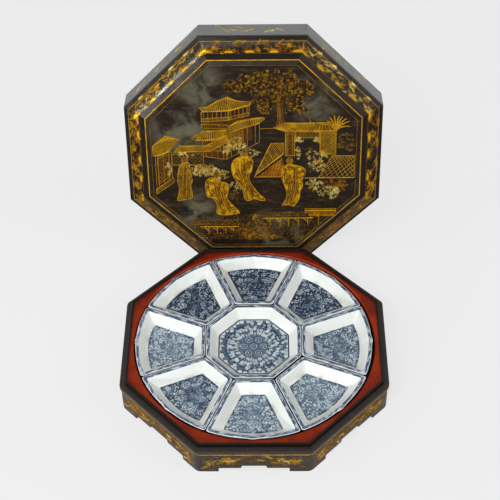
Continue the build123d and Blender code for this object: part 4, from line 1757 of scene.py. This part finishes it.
# %% People in the court
people = Pen(seed=97)
robed_people = [
    (
        [
            (-31, -18), (-28, -7), (-20, -1), (-9, 0), (-2, -6), (-2, -17), (-7, -32), (-4, -44), (7, -60),
            (15, -69), (10, -71), (0, -68), (-8, -71), (-13, -68), (-16, -54), (-20, -44), (-28, -33)
        ],
        [
            [(-28, -14), (-27, -24), (-20, -38), (-14, -66)],
            [(-18, -4), (-20, -20), (-14, -40), (-8, -66)], [(-10, -3), (-12, -22), (-8, -42), (3, -65)],
            [(-4, -8), (-6, -24), (-5, -42), (11, -67)]
        ],
        [[(-6, -8), (-1, -14), (-4, -26), (-10, -30), (-13, -22), (-11, -12)]], (-13, 4),
        [
            (-7, -30, 6, 44, brown_line), (0, -54, 7, 130, brown_line), (-24, -12, 5, 20, bright_gold),
            (-12, -58, 4, 14, brown_line)
        ]
    ),
    (
        [
            (-67.5, -44), (-65, -37), (-58.5, -33.5), (-50, -36), (-45, -41), (-36, -44), (-34.5, -52),
            (-38.5, -64), (-36, -71), (-28, -81), (-21, -90.5), (-29, -93), (-40, -94.5), (-52.5, -92),
            (-52, -80), (-54, -72), (-58.5, -66), (-65, -64), (-67, -53)
        ],
        [
            [(-63, -48), (-60, -56), (-52, -64), (-48, -90)],
            [(-56, -37), (-54, -48), (-48, -64), (-46, -90)],
            [(-48, -40), (-47, -58), (-44, -74), (-38, -90)],
            [(-36, -46), (-40, -60), (-36, -76), (-25, -89)]
        ],
        [
            [(-44, -40), (-35, -44), (-35, -54), (-42, -60), (-48, -52)],
            [(-64, -46), (-57, -42), (-54, -54), (-60, -60)]
        ],
        (-52, -29),
        [
            (-52, -46, 5, 50, brown_line), (-42, -60, 4, 26, bright_gold), (-47, -72, 4, 34, brown_line),
            (-30, -84, 5, 24, brown_line)
        ]
    ),
    (
        [
            (-99.5, -11), (-90, -9.5), (-88.5, -17), (-87.5, -28), (-85.5, -38), (-88, -46), (-86.5, -58),
            (-87, -66), (-97, -68.5), (-107, -70), (-105, -59), (-104, -48), (-106, -39), (-105, -28),
            (-103, -18)
        ],
        [
            [(-97, -12), (-98, -34), (-100, -66)], [(-93, -14), (-93, -38), (-95, -68)],
            [(-90, -20), (-91, -46), (-88, -66)]
        ],
        [[(-93, -18), (-86, -22), (-86, -34), (-93, -36)]], (-95, -5.5),
        [
            (-100, -30, 5, 46, brown_line), (-94, -54, 7, 60, brown_line), (-91, -28, 3, 20, brown_line),
            (-102, -60, 4, 20, bright_gold)
        ],
        worn_gold
    ),
    (
        [
            (41, -16), (48, -12.5), (55, -14), (64, -16.5), (70.5, -22), (69.5, -31), (66.5, -38),
            (67, -48), (63.5, -56), (62.5, -68), (55, -80), (48, -78), (39, -79), (43.5, -70), (45.5, -61),
            (43.5, -51), (40.5, -42), (38, -33), (38.5, -23)
        ],
        [
            [(43, -24), (44, -38), (47, -54), (41, -76)], [(50, -16), (49, -34), (52, -54), (46, -76)],
            [(58, -15), (58, -36), (57, -56), (50, -77)], [(67, -22), (66, -38), (61, -54), (55, -74)]
        ],
        [
            [(44, -20), (53, -18), (55, -32), (49, -44), (42, -36)],
            [(60, -18), (69, -24), (67, -40), (60, -42)]
        ],
        (49, -7.5),
        [
            (58, -34, 7, 150, brown_line), (52, -60, 6, 90, brown_line), (46, -26, 3, 16, bright_gold),
            (58, -68, 3, 14, bright_gold)
        ]
    ),
]
for drawing in robed_people:
    robe(people, *drawing)
for quad, count in (
    ([(46, -50), (66, -50), (67, -18), (46, -18)], 110),
    ([(-44, -70), (-36, -70), (-36, -42), (-44, -42)], 24)
):
    for k in range(count):
        spot = in_quad(quad, people.chance.random(), people.chance.random())
        tint = people.chance.choice((brown_line, orange_gold, bright_gold))
        people.line(
            [spot, (spot[0] + people.near(1.2), spot[1] + people.near(1.2))], 0.7, tint, (0.7, 0.7), 0.44
        )
gather("lid_people_gilding", lay_sheet("people", people, on_panel), "lid")

# %% [markdown]
# The lid's skirt has a few thin sprigs, nearly rubbed away. The apron of the base has a gold rule under the
# ledge, flowers and leaves towards both ends of each board, and short strokes of gold dust all over, fewer
# on the front one. Its lower edge is stepped, so a small function says how low the brush may go.

# %% Sprigs on the skirt of the lid
skirt_seed = 500
sheets = []
for index, side_name in enumerate(side_names):
    pen = Pen(skirt_seed + index)
    half = apothem * side_share / mm
    for place in (-0.5, -0.08, 0.42):
        for k in range(3):
            root = (place * half + pen.near(4), pen.chance.uniform(12, 24))
            aim = pen.chance.choice((0.0, pi)) + pen.near(0.5)
            spray(pen, root, aim, pen.chance.uniform(10, 18), pale_gold, 5.0, 6, 0.7)
    sheets += lay_sheet(f"skirt_{side_name}", pen, on_skirt(index))
gather("lid_skirt_gilding", sheets, "lid")

# %% Gold dust above the apron's stepped edge
foot_reach = 27.0
step_reach = 56.0
step_rise = 7.3
arch_rise = 12.2
dust_top = 31.5
dust_limit = 34.0
dust_length = 3.0
dust_margin = 2.0


def lowest(along, half):
    """How high the apron's lower edge lies at a place along a board."""
    from_corner = half - abs(along)
    if from_corner < foot_reach:
        return 0.0
    return step_rise if from_corner < step_reach else arch_rise


def dusted(pen, half, start, end, count):
    """Short slanting strokes of gold dust, kept off the cut edge."""
    for k in range(count):
        along = pen.chance.uniform(start, end) * half
        low = max(lowest(along - 3, half), lowest(along + 3, half)) + dust_margin
        up = pen.chance.uniform(low, dust_top)
        lean = pen.chance.choice((0.9, 1.2, 2.0)) + pen.near(0.3)
        tip = (along + dust_length * cos(lean), min(up + dust_length * sin(lean), dust_limit))
        gold = pen.chance.choice((worn_gold, worn_gold, worn_gold, bright_gold))
        pen.line([(along, up), tip], 0.6, gold, (0.6, 0.3), 0.05)


print("the apron's edge is", arch_rise, "mm up at the middle of a board")

# %% Gilding on the apron
rule_height = 35.4
stroke_top = 33.5
end_gap = 0.4
apron_seed = 600
sheets = []
for index, side_name in enumerate(side_names):
    pen = Pen(apron_seed + index)
    half = apron_outer * side_share / mm
    end = half - end_gap
    stations = (-end, 1.5 - end, 3 - end, 5 - end, end - 5, end - 3, end - 1.5, end)
    pen.line([(along, rule_height) for along in stations], 1.7, bright_gold, lift=0.03)
    golds = (bright_gold, worn_gold, pale_gold, orange_gold, worn_gold)
    for side in (-1, 1):
        full_bloom(pen, side * (0.74 * half + pen.near(3)), 20 + pen.near(2), 9.0, golds, 0.85, 1.0)
        full_bloom(pen, side * (0.5 * half + pen.near(3)), 25 + pen.near(2), 6.5, golds, 0.85, 1.0)
        for k in range(16):
            along = side * pen.chance.uniform(0.2, 0.84) * half
            low = max(lowest(along - 9, half), lowest(along + 9, half))
            root = (along, low + pen.chance.uniform(8, 17))
            aim = pen.chance.choice((0.0, pi)) + pen.near(0.6)
            spray(pen, root, aim, 10, pen.chance.choice(golds), 3.4, 6, 0.7)
        scroll = [(0.42, 20), (0.26, 25 + pen.near(3)), (0.1, 21), (0.02, 26)]
        pen.line([(side * share * half, up) for share, up in scroll], 1.0, worn_gold, (0.6, 0.3))
    dense = side_name != "front"
    dusted(pen, half, -0.92, 0.92, 760 if dense else 340)
    for k in range(260 if dense else 60):
        along = pen.chance.uniform(-0.86, 0.86) * half
        up = pen.chance.uniform(max(lowest(along - 7, half), lowest(along + 7, half)) + 6, stroke_top)
        reach = pen.chance.uniform(2, 6)
        gold = pen.chance.choice((worn_gold, orange_gold, worn_gold, brown_line))
        pen.line([(along - reach, up), (along + reach, up + pen.near(1.2))], 0.8, gold, (0.9, 0.5), 0.04)
    sheets += lay_sheet(f"apron_{side_name}", pen, on_apron(index))
gather("apron_gilding", sheets, "base")
